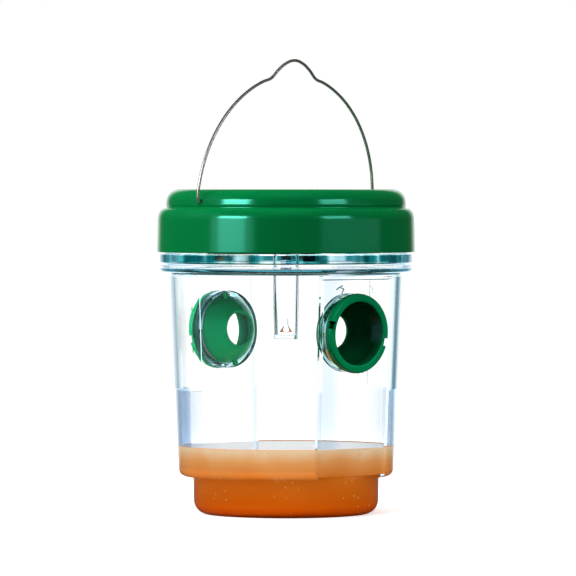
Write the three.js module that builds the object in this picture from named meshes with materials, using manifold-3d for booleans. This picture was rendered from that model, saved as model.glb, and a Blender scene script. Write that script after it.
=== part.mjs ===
// Solar insect trap: a clear jar with two funnel entries, bait in its foot, and a green
// lid that holds a solar panel, a lamp on a clear light tube and a wire bail.
// Millimetres, +Z up. The origin is the middle of the jar's underside, and the two
// entries face -Y (front) and +Y (back).
import * as THREE from 'three';
import { mergeVertices } from 'three/addons/utils/BufferGeometryUtils.js';
import Module from 'manifold-3d';

const wasm = await Module();
wasm.setup();
const degree = Math.PI / 180;
const quarterTurn = Math.PI / 2;

// General
const gap = 0.3; // between pieces that touch or nest
const overrun = 2; // how far a cutter runs past what it cuts
const weld = 0.0001; // points closer than this are one
const largeSegments = 48; // facets round the jar and lid
const middleSegments = 26; // facets round the entries
const tubeSegments = 18; // facets round the light tube
const smallSegments = 12; // facets round screws, posts and holes
const roundSteps = 3; // facets in a rounded corner
const smallRound = 1.5; // a rounding up to this is one facet

// Jar
const jarWall = 1.7;
const footRadius = 47;
const footDraft = 0.5; // how much narrower the foot is at its underside
const footHeight = 19.2;
const footRound = 7;
const shoulderStep = 7.2; // how far the body stands out from the foot
const shoulderRound = 5.6;
const bodyFlare = 4.1; // how much wider the body is at its top
const bodyHeight = 103.4;
const beadStep = 2.6; // the bead, groove and flange stand out from the neck
const beadHeight = 3.6;
const beadRound = 2.4;
const grooveStep = 0.3;
const grooveHeight = 1;
const flangeStep = 2.8;
const flangeHeight = 4.5;
const neckStep = 2.9; // how far the neck stands out from the top of the body
const neckWall = 2;
const padRise = 0.5; // the two grip pads stand out from the body
const padBottom = 44; // above the foot
const padTopMargin = 2; // below the bead
const padStartTurn = 0;
const padEndTurn = -75;

// Entry panels: flats sunk in the front and back of the body
const panelSink = 6.5; // below the round of the body, level with the entries
const panelMargin = 0.7; // beside the entry's ring
const panelFlare = 19; // degrees from the flat to its slanted sides
const panelTopMargin = 3.1; // below the bead
const entryHeight = 73.2; // above the foot

// Entries
const mouthRadius = 16;
const entryWall = 1.6;
const ringLip = 2.2; // how far the ring stands out from the cup
const ringHeight = 4.1;
const ringRound = 1;
const cupDepth = 15; // from the panel's outer face to the cup's inner end
const exitRadius = 8.4;
const exitLip = 3.1; // flat end round the exit hole
const cupSteps = 4;
const turnClearance = 0.35; // round the cup in its collar
const notchWidth = 4;
const notchDepth = 2.6;
const notchTurn = -14; // tilt of the two finger notches
const lugArc = 16; // degrees that a bayonet lug spans
const lugRise = 1.3;
const lugThickness = 1.5;
const lugTurn = 76;
const unlockTurn = 25; // from locked to where the lugs meet their slots
const slotMarginArc = 3;

// Collar round each cup, inside the jar
const collarLength = 4.6;
const collarWall = 1.9;
const collarNotchWidth = 6;

// Bait
const baitDepth = 32.5;

// Lid
const lidGap = 0.8; // between the jar's flange and the skirt
const lidWall = 2.2;
const skirtHeight = 22.1;
const skirtDraft = 0.4;
const skirtRound = 4.3;
const skirtEdgeRound = 0.6;
const tierStep = 4.7; // how far the upper tier stands in from the skirt
const tierHeight = 9.6;
const tierRound = 6.5;
const tierFillet = 0.8;
const lidTurnAtRest = 3;
const threadDepth = 1.5; // of the lugs on the jar and in the lid
const threadClearance = 0.4;
const threadCount = 4;
const threadArc = 25;
const threadHeight = 2.5;
const threadRise = 7.4; // the jar's lugs above its flange
const lockTurn = 40;
const stopArc = 2;
const stopClearanceArc = 1;
const sealThickness = 1.8;
const sealOverhang = 0.3; // inside the jar's rim

// Bail
const wireRadius = 0.9;
const wireClearance = 0.35; // in the pivot holes
const bailGap = 1; // between the wire and the upper tier
const pivotRise = 3.2; // above the skirt's shoulder
const wireReach = 2.4; // of each wire end past the wall
const bendRadius = 2.6;
const bailRise = 65.9; // of the oval that the wire follows
const humpHalfWidth = 16;
const humpRise = 9.2; // of the crown above where the hump starts
const bailLean = 5; // towards the front
const bendEndShare = 1.6; // where the bend meets the oval, in bend radii above the pivots
const humpSideShares = [[0.7, 0.46], [0.39, 0.82]]; // points of the hump's side, across and up
const ovalSteps = 14;
const wireSides = 8;
const wireSteps = 76;

// Solar panel, in a pocket in the lid's top
const panelSize = 61;
const panelCorner = 2;
const cellThickness = 1.5;
const windowThickness = 0.8;
const pocketFloor = 2;
const leadHoleRadius = 2.6;
const leadHoleOffset = 20;

// Housing under the lid
const housingWall = 1.8;
const housingRound = 2;
const housingMargin = 1.2; // beyond the battery door's corners
const housingFlange = 2;
const postRadius = 3.4;
const postLength = 4.7;
const screwRadius = 1.2;
const screwHeadRadius = 2.6;
const screwHeadHeight = 1.8;
const screwClearance = 0.3;

// Battery, its contacts and its door
const batteryRadius = 5.25;
const batteryLength = 44.5;
const nubRadius = 1.9;
const nubHeight = 1;
const batteryOffset = 18; // behind the middle of the lid
const contactThickness = 0.5;
const contactWidth = 8;
const springHeight = 2.4;
const springRadius = 3;
const ribThickness = 1.4;
const doorClearance = 0.6; // round the battery
const doorThickness = 1.6;
const doorSideLip = 1.5;
const doorEndLip = 5.4;
const doorScrewInset = 2.7;
const doorPostRadius = 2.4;
const doorPostHeight = 5;

// Circuit board, lamp and switch
const boardLength = 38;
const boardWidth = 31;
const boardThickness = 1.6;
const boardFrontEdge = 23.5; // in front of the middle of the lid
const boardPostInset = 3.6;
const boardPostRadius = 2.4;
const chipLength = 8;
const chipWidth = 6;
const chipHeight = 1.6;
const chipInset = 7.5; // from the board's front edge
const lampRadius = 2.8;
const lampLength = 6.4;
const lampDrop = 10.5; // of its tip below the housing
const holderRadius = 2.5;
const switchOffset = 16.4; // in front of the middle of the lid
const switchLength = 9;
const switchWidth = 4.8;
const switchHeight = 4.5;
const knobLength = 5.5;
const knobWidth = 3.6;
const knobHeight = 4.4;
const stemLength = 2.6;
const stemWidth = 1.8;
const knobTravel = 2.4;

// Leads
const leadRadius = 0.6;
const leadSpacing = 1.3;
const leadRise = 3.5;
const leadSides = 6;
const leadSteps = 12;
const boardLeadSpacing = 9;

// Light tube
const tubeTopRadius = 6.95;
const tubeBottomRadius = 6.1;
const tubeWall = 1.2;
const tubeDrop = 44.1; // below the housing
const tubeFlangeStep = 2.2;
const tubeFlangeThickness = 1.4;
const coneHeight = 5.6;
const stemHeight = 3.8;
const stemRadius = 1.15;
const tubeHoleClearance = 0.35;

// Heights that follow from the sizes
const beadBottom = footHeight + bodyHeight;
const beadTop = beadBottom + beadHeight;
const flangeBottom = beadTop + grooveHeight;
const flangeTop = flangeBottom + flangeHeight;
const skirtBottom = flangeTop + lidGap;
const tierBottom = skirtBottom + skirtHeight;
const lidTop = tierBottom + tierHeight;
const sealTop = tierBottom - lidWall - gap;
const sealBottom = sealTop - sealThickness;
const neckTop = sealBottom - gap;
const entryLevel = footHeight + entryHeight;
const pivotLevel = tierBottom + pivotRise;

// Radii that follow from the sizes
const shoulderRadius = footRadius + shoulderStep;
const bodyTopRadius = shoulderRadius + bodyFlare;
const neckRadius = bodyTopRadius + neckStep;
const neckBore = neckRadius - neckWall;
const skirtBore = neckRadius + threadDepth + threadClearance;
const skirtRadius = skirtBore + lidWall;
const tierRadius = skirtRadius - tierStep;
const tierBore = tierRadius - lidWall;
const cupRadius = mouthRadius + entryWall;
const ringRadius = cupRadius + ringLip;
const collarBore = cupRadius + turnClearance;
const collarRadius = collarBore + collarWall;
const bailHalfSpan = tierRadius + bailGap + wireRadius;

// Lean of the body's side, and the panel's place on it
const bodyLean = Math.atan(bodyFlare / bodyHeight);
const bodyRadiusAt = (height) => shoulderRadius + (height - footHeight) * Math.tan(bodyLean);
const panelDistance = bodyRadiusAt(entryLevel) - panelSink;
const panelHalfWidth = ringRadius + panelMargin;

// Heights inside the lid's housing
const plateTop = skirtBottom + housingWall;
const boardBottom = plateTop + switchHeight + 2 * gap;
const boardTop = boardBottom + boardThickness;
const pocketDepth = cellThickness + windowThickness + 2 * gap;
const pocketUnderside = lidTop - pocketDepth - pocketFloor;
const housingTop = pocketUnderside - gap;
const postUnderside = lidTop - lidWall - postLength;
const housingFlangeTop = postUnderside - gap;

const screwHole = screwRadius + screwClearance;

// Battery bay, seen from below
const bayHalfLength = batteryLength / 2 + nubHeight + springHeight + contactThickness + 2 * gap;
const bayHalfWidth = batteryRadius + doorClearance;
const batteryLevel = plateTop + gap + batteryRadius;
const housingBore = Math.hypot(bayHalfLength + doorEndLip, batteryOffset + bayHalfWidth) + housingMargin;
const housingRadius = housingBore + housingWall;
const postDistance = housingRadius + postRadius + gap;
const housingFlangeRadius = postDistance + postRadius;

// Finishes
const finish = (color, roughness, metalness = 0, opacity = 1) =>
  new THREE.MeshStandardMaterial({ color, roughness, metalness, opacity, transparent: opacity < 1 });
const clearPlastic = finish(0xe9f2f5, 0.06, 0, 0.3);
const greenPlastic = finish(0x00703a, 0.22);
const baitSyrup = finish(0xd07a1e, 0.15, 0, 0.85);
const steelWire = finish(0x9a9a96, 0.3, 1);
const paleRubber = finish(0xd8d8d0, 0.7);
const darkCell = finish(0x10182c, 0.25);
const blackPlastic = finish(0x17181a, 0.5);
const boardGreen = finish(0x1c5a34, 0.5);
const batteryWrap = finish(0x2f7d4f, 0.35);
const nickelPlate = finish(0xb9b6ab, 0.3, 1);
const redWire = finish(0xa81e1a, 0.5);
const blackWire = finish(0x1b1b1c, 0.5);
const lampPlastic = finish(0xd9d6f2, 0.08, 0, 0.5);

// A closed geometry as a solid that can be joined and cut
function solid(geometry) {
  const bare = geometry.clone();
  bare.deleteAttribute('normal');
  bare.deleteAttribute('uv');
  const merged = mergeVertices(bare, weld);
  const corners = merged.index.array;
  const kept = [];
  for (let i = 0; i < corners.length; i += 3) {
    const [a, b, c] = corners.slice(i, i + 3);
    if (a !== b && b !== c && c !== a) kept.push(a, b, c);
  }
  const vertProperties = new Float32Array(merged.attributes.position.array);
  const triVerts = new Uint32Array(kept);
  return new wasm.Manifold(new wasm.Mesh({ numProp: 3, vertProperties, triVerts }));
}

function join(...pieces) {
  return pieces.reduce((whole, piece) => whole.add(piece));
}

function cut(body, ...cutters) {
  return cutters.reduce((rest, cutter) => rest.subtract(cutter), body);
}

// A solid as a geometry for a mesh
function shape(body) {
  const { vertProperties, triVerts } = body.getMesh();
  const geometry = new THREE.BufferGeometry();
  geometry.setAttribute('position', new THREE.BufferAttribute(vertProperties, 3));
  geometry.setIndex(new THREE.BufferAttribute(triVerts, 1));
  geometry.computeVertexNormals();
  return geometry;
}

// Points of an outline whose corners are [across, up, rounding], each rounding an arc
function outline(corners, closed = false) {
  const points = [];
  corners.forEach(([x, y, rounding = 0], index) => {
    const corner = new THREE.Vector2(x, y);
    const before = corners[(index + corners.length - 1) % corners.length];
    const after = corners[(index + 1) % corners.length];
    const isEnd = !closed && (index === 0 || index === corners.length - 1);
    if (isEnd || rounding === 0) {
      points.push(corner);
      return;
    }
    const back = new THREE.Vector2(before[0], before[1]).sub(corner);
    const ahead = new THREE.Vector2(after[0], after[1]).sub(corner);
    const halfAngle = Math.acos(back.dot(ahead) / (back.length() * ahead.length())) / 2;
    const room = Math.min(back.length(), ahead.length()) / 2;
    const tangent = Math.min(rounding / Math.tan(halfAngle), room);
    const radius = tangent * Math.tan(halfAngle);
    const start = corner.clone().add(back.setLength(tangent));
    const end = corner.clone().add(ahead.setLength(tangent));
    const toCentre = start.clone().add(end).divideScalar(2).sub(corner);
    const centre = corner.clone().add(toCentre.setLength(radius / Math.sin(halfAngle)));
    const from = start.sub(centre).angle();
    const between = end.sub(centre).angle() - from;
    const sweep = THREE.MathUtils.euclideanModulo(between + Math.PI, 2 * Math.PI) - Math.PI;
    const steps = radius > smallRound ? roundSteps : 1;
    for (let step = 0; step <= steps; step += 1) {
      const turn = from + (sweep * step) / steps;
      points.push(new THREE.Vector2(centre.x + radius * Math.cos(turn), centre.y + radius * Math.sin(turn)));
    }
  });
  if (closed) points.push(points[0].clone());
  return points;
}

// A solid of revolution about Z, from an outline of [radius, height] points
function revolve(points, segments) {
  return solid(new THREE.LatheGeometry(points, segments).rotateX(quarterTurn));
}

// An upright round bar
function bar(radius, bottom, top, x = 0, y = 0, segments = smallSegments) {
  const geometry = new THREE.CylinderGeometry(radius, radius, top - bottom, segments).rotateX(quarterTurn);
  return solid(geometry.translate(x, y, (bottom + top) / 2));
}

// An upright block, its corners rounded where a rounding is given
function block(length, width, bottom, top, x = 0, y = 0, rounding = 0) {
  const halfLength = length / 2;
  const halfWidth = width / 2;
  const corners = [
    [-halfLength, -halfWidth, rounding],
    [halfLength, -halfWidth, rounding],
    [halfLength, halfWidth, rounding],
    [-halfLength, halfWidth, rounding],
  ];
  const plan = new THREE.Shape(outline(corners, true));
  const geometry = new THREE.ExtrudeGeometry(plan, { depth: top - bottom, bevelEnabled: false });
  return solid(geometry.translate(x, y, bottom));
}

// An upright piece of a ring between two turns in degrees
function ringPiece(inner, outer, startTurn, endTurn, bottom, top) {
  const plan = new THREE.Shape();
  plan.absarc(0, 0, outer, startTurn * degree, endTurn * degree, false);
  plan.absarc(0, 0, inner, endTurn * degree, startTurn * degree, true);
  const settings = { depth: top - bottom, bevelEnabled: false, curveSegments: roundSteps + 1 };
  return solid(new THREE.ExtrudeGeometry(plan, settings).translate(0, 0, bottom));
}

// A round wire along a curve
function wire(curve, radius, sides, steps) {
  const section = new THREE.Shape();
  for (let side = 0; side < sides; side += 1) {
    const turn = (side / sides) * 2 * Math.PI;
    const [x, y] = [radius * Math.cos(turn), radius * Math.sin(turn)];
    if (side === 0) section.moveTo(x, y);
    else section.lineTo(x, y);
  }
  section.closePath();
  return new THREE.ExtrudeGeometry(section, { steps, bevelEnabled: false, extrudePath: curve });
}

// The frame of an entry: its own Z points out of the panel, and its own Y up the panel
function entryFrame(isBack) {
  const side = new THREE.Matrix4().makeRotationZ(isBack ? Math.PI : 0);
  const place = new THREE.Matrix4().makeTranslation(0, -panelDistance, entryLevel);
  const lean = new THREE.Matrix4().makeRotationX(quarterTurn + bodyLean);
  return side.multiply(place).multiply(lean);
}

// A solid, placed by a matrix
function moved(body, matrix) {
  return solid(shape(body).applyMatrix4(matrix));
}

// The space in front of a panel, moved into the jar by a distance
function panelSpace(inset) {
  const reach = 2 * panelSink + inset;
  const halfWidth = panelHalfWidth + inset * Math.tan((panelFlare * degree) / 2);
  const spread = reach / Math.tan(panelFlare * degree);
  const top = beadBottom - panelTopMargin - entryLevel + inset;
  const bottom = -entryHeight - overrun;
  const plan = new THREE.Shape([
    new THREE.Vector2(-halfWidth, inset),
    new THREE.Vector2(-halfWidth - spread, inset - reach),
    new THREE.Vector2(halfWidth + spread, inset - reach),
    new THREE.Vector2(halfWidth, inset),
  ]);
  const space = new THREE.ExtrudeGeometry(plan, { depth: top - bottom, bevelEnabled: false });
  space.translate(0, 0, bottom).rotateX(bodyLean).translate(0, -panelDistance, entryLevel);
  return join(solid(space), solid(space.clone().rotateZ(Math.PI)));
}

// The inside of the jar up to a height, drawn in from the wall by a clearance
function jarInside(clearance, top) {
  const inset = jarWall + clearance;
  const shelf = footHeight + inset;
  const inside = revolve(
    outline([
      [0, inset],
      [footRadius - footDraft - inset, inset, footRound - inset],
      [footRadius - inset, shelf],
      [shoulderRadius - inset, shelf, shoulderRound - inset],
      [bodyTopRadius - inset, beadBottom],
      [neckBore - clearance, beadTop],
      [neckBore - clearance, neckTop + overrun],
      [0, neckTop + overrun],
    ]),
    largeSegments,
  );
  return cut(inside, panelSpace(inset)).trimByPlane([0, 0, -1], -top);
}

// Two pads that stand a little proud of the body, beside the panels
function gripPads() {
  const bottom = footHeight + padBottom;
  const top = beadBottom - padTopMargin;
  const sleeve = revolve(
    outline([
      [0, bottom],
      [bodyRadiusAt(bottom) + padRise, bottom],
      [bodyRadiusAt(top) + padRise, top],
      [0, top],
    ]),
    largeSegments,
  );
  const reach = 2 * footRadius;
  const sectors = [0, 180].map((turn) =>
    ringPiece(footRadius, reach, padEndTurn + turn, padStartTurn + turn, bottom - overrun, top + overrun),
  );
  return sleeve.intersect(join(...sectors));
}

// The jar's neck lugs, each with a stop that ends the lid's turn
function neckLugs() {
  const bottom = flangeTop + threadRise;
  const stopBottom = bottom - threadHeight - gap;
  const root = neckRadius - neckWall / 2;
  const crest = neckRadius + threadDepth;
  const lugs = [];
  for (let index = 0; index < threadCount; index += 1) {
    const start = lidTurnAtRest + (360 / threadCount) * (index + 1 / 2) - threadArc / 2;
    const stopStart = start + (180 / threadCount - lockTurn) - stopClearanceArc - stopArc;
    lugs.push(ringPiece(root, crest, start, start + threadArc, bottom, bottom + threadHeight));
    lugs.push(ringPiece(root, crest, stopStart, stopStart + stopArc, stopBottom, bottom + gap));
  }
  return join(...lugs);
}

// The collar round an entry's cup, before its hole is cut
function entryCollar() {
  const end = -jarWall - collarLength;
  return revolve(
    outline(
      [
        [collarBore - turnClearance, end],
        [collarRadius, end],
        [collarRadius, -jarWall / 2],
        [collarBore - turnClearance, -jarWall / 2],
      ],
      true,
    ),
    middleSegments,
  );
}

// The hole through the panel and collar, with two slots for the cup's lugs and a drain notch
function entryHole() {
  const end = -jarWall - collarLength;
  const slotArc = lugArc + 2 * slotMarginArc;
  const slotCrest = cupRadius + lugRise + turnClearance;
  const slots = [0, 180].map((turn) => {
    const start = lugTurn + unlockTurn + turn - slotArc / 2;
    return ringPiece(mouthRadius, slotCrest, start, start + slotArc, end - overrun, overrun);
  });
  const notch = new THREE.Shape([
    new THREE.Vector2(0, -jarWall - gap),
    new THREE.Vector2(-collarNotchWidth / 2, end - overrun),
    new THREE.Vector2(collarNotchWidth / 2, end - overrun),
  ]);
  const notchReach = 2 * collarWall + lugRise;
  const wedge = new THREE.ExtrudeGeometry(notch, { depth: notchReach, bevelEnabled: false });
  wedge.rotateX(quarterTurn).translate(0, -mouthRadius, 0);
  return join(bar(collarBore, end - overrun, overrun, 0, 0, middleSegments), ...slots, solid(wedge));
}

function makeJar() {
  const outside = revolve(
    outline([
      [0, 0],
      [footRadius - footDraft, 0, footRound],
      [footRadius, footHeight],
      [shoulderRadius, footHeight, shoulderRound],
      [bodyTopRadius, beadBottom],
      [neckRadius + beadStep, beadBottom, beadRound],
      [neckRadius + beadStep, beadTop],
      [neckRadius + grooveStep, beadTop],
      [neckRadius + grooveStep, flangeBottom],
      [neckRadius + flangeStep, flangeBottom],
      [neckRadius + flangeStep, flangeTop],
      [neckRadius, flangeTop],
      [neckRadius, neckTop],
      [0, neckTop],
    ]),
    largeSegments,
  );
  const shell = cut(join(outside, gripPads()), panelSpace(0), jarInside(0, neckTop + overrun));
  const frames = [entryFrame(false), entryFrame(true)];
  const collars = frames.map((frame) => moved(entryCollar(), frame));
  const holes = frames.map((frame) => moved(entryHole(), frame));
  return cut(join(shell, neckLugs(), ...collars), ...holes);
}

// A funnel entry: finger ring, cup and exit hole, with two bayonet lugs behind the collar
function makeEntry() {
  const straightEnd = -jarWall - collarLength - gap - lugThickness - gap;
  const exitEnd = -cupDepth;
  const dome = (radius, lowRadius, top, bottom) => {
    const points = [];
    for (let step = 1; step < cupSteps; step += 1) {
      const turn = (step / cupSteps) * quarterTurn;
      const across = lowRadius + (radius - lowRadius) * Math.cos(turn);
      points.push([across, top + (bottom - top) * Math.sin(turn)]);
    }
    return points;
  };
  const outerDome = dome(cupRadius, exitRadius + exitLip, straightEnd, exitEnd).reverse();
  const innerDome = dome(mouthRadius, exitRadius, straightEnd, exitEnd + entryWall);
  const body = revolve(
    outline(
      [
        [exitRadius, exitEnd],
        [exitRadius + exitLip, exitEnd],
        ...outerDome,
        [cupRadius, straightEnd],
        [cupRadius, gap],
        [ringRadius, gap],
        [ringRadius, gap + ringHeight, ringRound],
        [mouthRadius, gap + ringHeight, ringRound / 2],
        [mouthRadius, straightEnd],
        ...innerDome,
        [exitRadius, exitEnd + entryWall],
      ],
      true,
    ),
    middleSegments,
  );
  const lugTop = -jarWall - collarLength - gap;
  const lugRoot = mouthRadius + entryWall / 2;
  const lugCrest = cupRadius + lugRise;
  const lugs = [0, 180].map((turn) => {
    const start = lugTurn + turn - lugArc / 2;
    return ringPiece(lugRoot, lugCrest, start, start + lugArc, lugTop - lugThickness, lugTop);
  });
  const front = gap + ringHeight;
  const notchGeometry = new THREE.BoxGeometry(2 * (ringRadius + overrun), notchWidth, 2 * notchDepth);
  const notches = solid(notchGeometry.rotateZ(notchTurn * degree).translate(0, 0, front));
  const low = front - notchDepth - overrun;
  const middle = bar(mouthRadius - overrun, low, front + overrun, 0, 0, middleSegments);
  return cut(join(body, ...lugs), cut(notches, middle));
}

function makeSeal() {
  const points = outline(
    [
      [neckBore - sealOverhang, sealBottom],
      [skirtBore - gap, sealBottom],
      [skirtBore - gap, sealTop],
      [neckBore - sealOverhang, sealTop],
    ],
    true,
  );
  return revolve(points, largeSegments);
}

// Places of the four screws round the housing
const postPlaces = [0, 1, 2, 3].map((index) => {
  const turn = index * quarterTurn;
  return [postDistance * Math.cos(turn), postDistance * Math.sin(turn)];
});

function makeLidShell() {
  const topUnderside = lidTop - lidWall;
  const shell = revolve(
    outline([
      [0, topUnderside],
      [tierBore, topUnderside],
      [tierBore, tierBottom - lidWall],
      [skirtBore, tierBottom - lidWall],
      [skirtBore, skirtBottom],
      [skirtRadius, skirtBottom, skirtEdgeRound],
      [skirtRadius - skirtDraft, tierBottom, skirtRound],
      [tierRadius, tierBottom, tierFillet],
      [tierRadius, lidTop, tierRound],
      [0, lidTop],
    ]),
    largeSegments,
  );
  const pocketSize = panelSize + 2 * gap;
  const pocketWall = pocketSize + 2 * pocketFloor;
  const root = topUnderside + lidWall / 2;
  const pocketBottom = lidTop - pocketDepth;
  const tray = block(pocketWall, pocketWall, pocketUnderside, root, 0, 0, panelCorner);
  const pocket = block(pocketSize, pocketSize, pocketBottom, lidTop + overrun, 0, 0, panelCorner);
  const leadHole = bar(leadHoleRadius, pocketUnderside - overrun, lidTop, 0, -leadHoleOffset);
  const posts = postPlaces.map(([x, y]) => bar(postRadius, postUnderside, root, x, y));
  const screwHoles = postPlaces.map(([x, y]) =>
    bar(screwHole, postUnderside - overrun, topUnderside, x, y),
  );
  const lugTop = flangeTop + threadRise - 2 * gap;
  const lugCrest = skirtBore - threadDepth;
  const lugRoot = skirtBore + lidWall / 2;
  const lugs = [];
  for (let index = 0; index < threadCount; index += 1) {
    const start = (360 / threadCount) * index - threadArc / 2;
    lugs.push(ringPiece(lugCrest, lugRoot, start, start + threadArc, lugTop - threadHeight, lugTop));
  }
  const pivotBore = new THREE.CylinderGeometry(
    wireRadius + wireClearance,
    wireRadius + wireClearance,
    2 * (tierRadius + overrun),
    smallSegments,
  );
  const pivotHoles = cut(
    solid(pivotBore.rotateZ(quarterTurn).translate(0, 0, pivotLevel)),
    block(2 * (tierBore - overrun), tierBore, tierBottom, lidTop),
  );
  return cut(join(shell, tray, ...posts, ...lugs), pocket, leadHole, ...screwHoles, pivotHoles);
}

// The wire's path in its own plane: across, and up from the pivot line
function bailPath() {
  const points = [];
  const add = (across, up) => points.push(new THREE.Vector3(across, 0, up));
  const wireEnd = tierBore - wireReach;
  const bendStart = bailHalfSpan - bendRadius;
  add(-wireEnd, 0);
  add(-(wireEnd + bendStart) / 2, 0);
  add(-bendStart, 0);
  const halfBend = bendRadius * (1 - Math.cos(quarterTurn / 2));
  add(halfBend - bailHalfSpan, halfBend);
  const humpTurn = Math.acos(humpHalfWidth / bailHalfSpan);
  const firstTurn = Math.asin((bendEndShare * bendRadius) / bailRise);
  for (let index = 0; index <= ovalSteps; index += 1) {
    const turn = firstTurn + ((humpTurn - firstTurn) * index) / ovalSteps;
    add(-bailHalfSpan * Math.cos(turn), bailRise * Math.sin(turn));
  }
  const humpStart = bailRise * Math.sin(humpTurn);
  for (const [acrossShare, upShare] of humpSideShares) {
    add(-humpHalfWidth * acrossShare, humpStart + humpRise * upShare);
  }
  const mirrored = points.map((point) => new THREE.Vector3(-point.x, 0, point.z)).reverse();
  add(0, humpStart + humpRise);
  return new THREE.CatmullRomCurve3([...points, ...mirrored], false, 'centripetal');
}

function makeBail() {
  const geometry = wire(bailPath(), wireRadius, wireSides, wireSteps);
  return geometry.rotateX(bailLean * degree).translate(0, 0, pivotLevel);
}

function makeSolarCell() {
  const bottom = lidTop - pocketDepth + gap;
  return block(panelSize, panelSize, bottom, bottom + cellThickness, 0, 0, panelCorner);
}

function makeSolarWindow() {
  return block(panelSize, panelSize, lidTop - windowThickness, lidTop, 0, 0, panelCorner);
}

// Places of the screws in the board and in the battery door
const boardMiddle = boardWidth / 2 - boardFrontEdge;
const boardScrewPlaces = [-1, 1].map((side) => [
  side * (boardLength / 2 - boardPostInset),
  boardPostInset - boardFrontEdge,
]);
const doorScrewPlaces = [-1, 1].map((side) => [side * (bayHalfLength + doorScrewInset), batteryOffset]);
const contactFace = batteryLength / 2 + nubHeight + springHeight;
const contactTop = batteryLevel + contactWidth / 2;

function makeHousing() {
  const flangeUnderside = housingFlangeTop - housingFlange;
  const tubeHole = tubeTopRadius + tubeHoleClearance;
  const cup = revolve(
    outline(
      [
        [tubeHole, skirtBottom],
        [housingRadius, skirtBottom, housingRound],
        [housingRadius, flangeUnderside],
        [housingFlangeRadius, flangeUnderside],
        [housingFlangeRadius, housingFlangeTop],
        [housingRadius, housingFlangeTop],
        [housingRadius, housingTop],
        [housingBore, housingTop],
        [housingBore, plateTop],
        [tubeHole, plateTop],
      ],
      true,
    ),
    middleSegments,
  );
  const root = skirtBottom + housingWall / 2;
  const doorPostTop = plateTop + doorPostHeight;
  const ribs = [-1, 1].map((side) => {
    const middle = side * (contactFace + contactThickness + gap + ribThickness / 2);
    return block(ribThickness, contactWidth, root, contactTop, middle, batteryOffset);
  });
  const boardPosts = boardScrewPlaces.map(([x, y]) => bar(boardPostRadius, root, boardBottom - gap, x, y));
  const doorPosts = doorScrewPlaces.map(([x, y]) => bar(doorPostRadius, root, doorPostTop, x, y));
  const below = skirtBottom - overrun;
  const above = plateTop + gap;
  const bay = block(2 * bayHalfLength - ribThickness, 2 * bayHalfWidth, below, above, 0, batteryOffset);
  const slotLength = stemLength + knobTravel + 2 * gap;
  const slot = block(slotLength, stemWidth + 2 * gap, below, above, knobTravel / 2, -switchOffset);
  const flangeTopCut = housingFlangeTop + gap;
  const holes = [
    ...postPlaces.map(([x, y]) => bar(screwHole, flangeUnderside - overrun, flangeTopCut, x, y)),
    ...boardScrewPlaces.map(([x, y]) => bar(screwHole, plateTop, boardBottom, x, y)),
    ...doorScrewPlaces.map(([x, y]) => bar(screwHole, below, doorPostTop - gap, x, y)),
  ];
  return cut(join(cup, ...ribs, ...boardPosts, ...doorPosts), bay, slot, ...holes);
}

// A pan-head screw that points up
function screw(x, y, seat, tip) {
  const head = revolve(
    outline([
      [0, seat - screwHeadHeight],
      [screwHeadRadius, seat - screwHeadHeight, screwHeadHeight / 2],
      [screwHeadRadius, seat],
      [screwRadius, seat],
      [screwRadius, tip],
      [0, tip],
    ]),
    smallSegments,
  );
  return solid(shape(head).translate(x, y, 0));
}

// The same screw, pointing down
function screwDown(x, y, seat, tip) {
  const upright = shape(screw(0, 0, 0, seat - tip));
  return solid(upright.rotateX(Math.PI).translate(x, y, seat));
}

function makeHousingScrew([x, y]) {
  return screw(x, y, housingFlangeTop - housingFlange - gap, lidTop - lidWall - gap);
}

function makeDoorScrew([x, y]) {
  return screw(x, y, skirtBottom - 2 * gap - doorThickness, plateTop + doorPostHeight - 2 * gap);
}

function makeBoardScrew([x, y]) {
  return screwDown(x, y, boardTop + gap, plateTop + gap);
}

function makeBatteryDoor() {
  const length = 2 * (bayHalfLength + doorEndLip);
  const width = 2 * (bayHalfWidth + doorSideLip);
  const top = skirtBottom - gap;
  const bottom = top - doorThickness;
  const plate = block(length, width, bottom, top, 0, batteryOffset, doorSideLip);
  const holes = doorScrewPlaces.map(([x, y]) => bar(screwHole, bottom - overrun, top + overrun, x, y));
  return cut(plate, ...holes);
}

function makeBattery() {
  const half = batteryLength / 2;
  const points = outline([
    [0, -half],
    [batteryRadius, -half, nubHeight / 2],
    [batteryRadius, half, nubHeight / 2],
    [nubRadius, half],
    [nubRadius, half + nubHeight],
    [0, half + nubHeight],
  ]);
  const geometry = new THREE.LatheGeometry(points, smallSegments).rotateZ(-quarterTurn);
  return solid(geometry.translate(0, batteryOffset, batteryLevel));
}

// A contact plate, with a stub in its spring's outline that reaches to the battery
function makeContact(side, reach) {
  const middle = side * (contactFace + contactThickness / 2);
  const bottom = batteryLevel - contactWidth / 2;
  const plate = block(contactThickness, contactWidth - 2 * gap, bottom, contactTop, middle, batteryOffset);
  const length = contactFace - reach + contactThickness / 2;
  const stub = new THREE.CylinderGeometry(nubRadius, springRadius, length, smallSegments);
  stub.rotateZ(side * quarterTurn).translate(side * (reach + length / 2), batteryOffset, batteryLevel);
  return join(plate, solid(stub));
}

function makeBoard() {
  const board = block(boardLength, boardWidth, boardBottom, boardTop, 0, boardMiddle, panelCorner);
  const holes = boardScrewPlaces.map(([x, y]) =>
    bar(screwHole, boardBottom - overrun, boardTop + overrun, x, y),
  );
  return cut(board, ...holes);
}

function makeChip() {
  const bottom = boardTop + gap;
  return block(chipLength, chipWidth, bottom, bottom + chipHeight, 0, chipInset - boardFrontEdge);
}

// The lamp: a clear round-ended bulb that hangs in the top of the light tube
function makeLamp() {
  const tip = skirtBottom - lampDrop;
  return revolve(
    outline([
      [0, tip],
      [lampRadius, tip, lampRadius],
      [lampRadius, tip + lampLength],
      [0, tip + lampLength],
    ]),
    smallSegments,
  );
}

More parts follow.
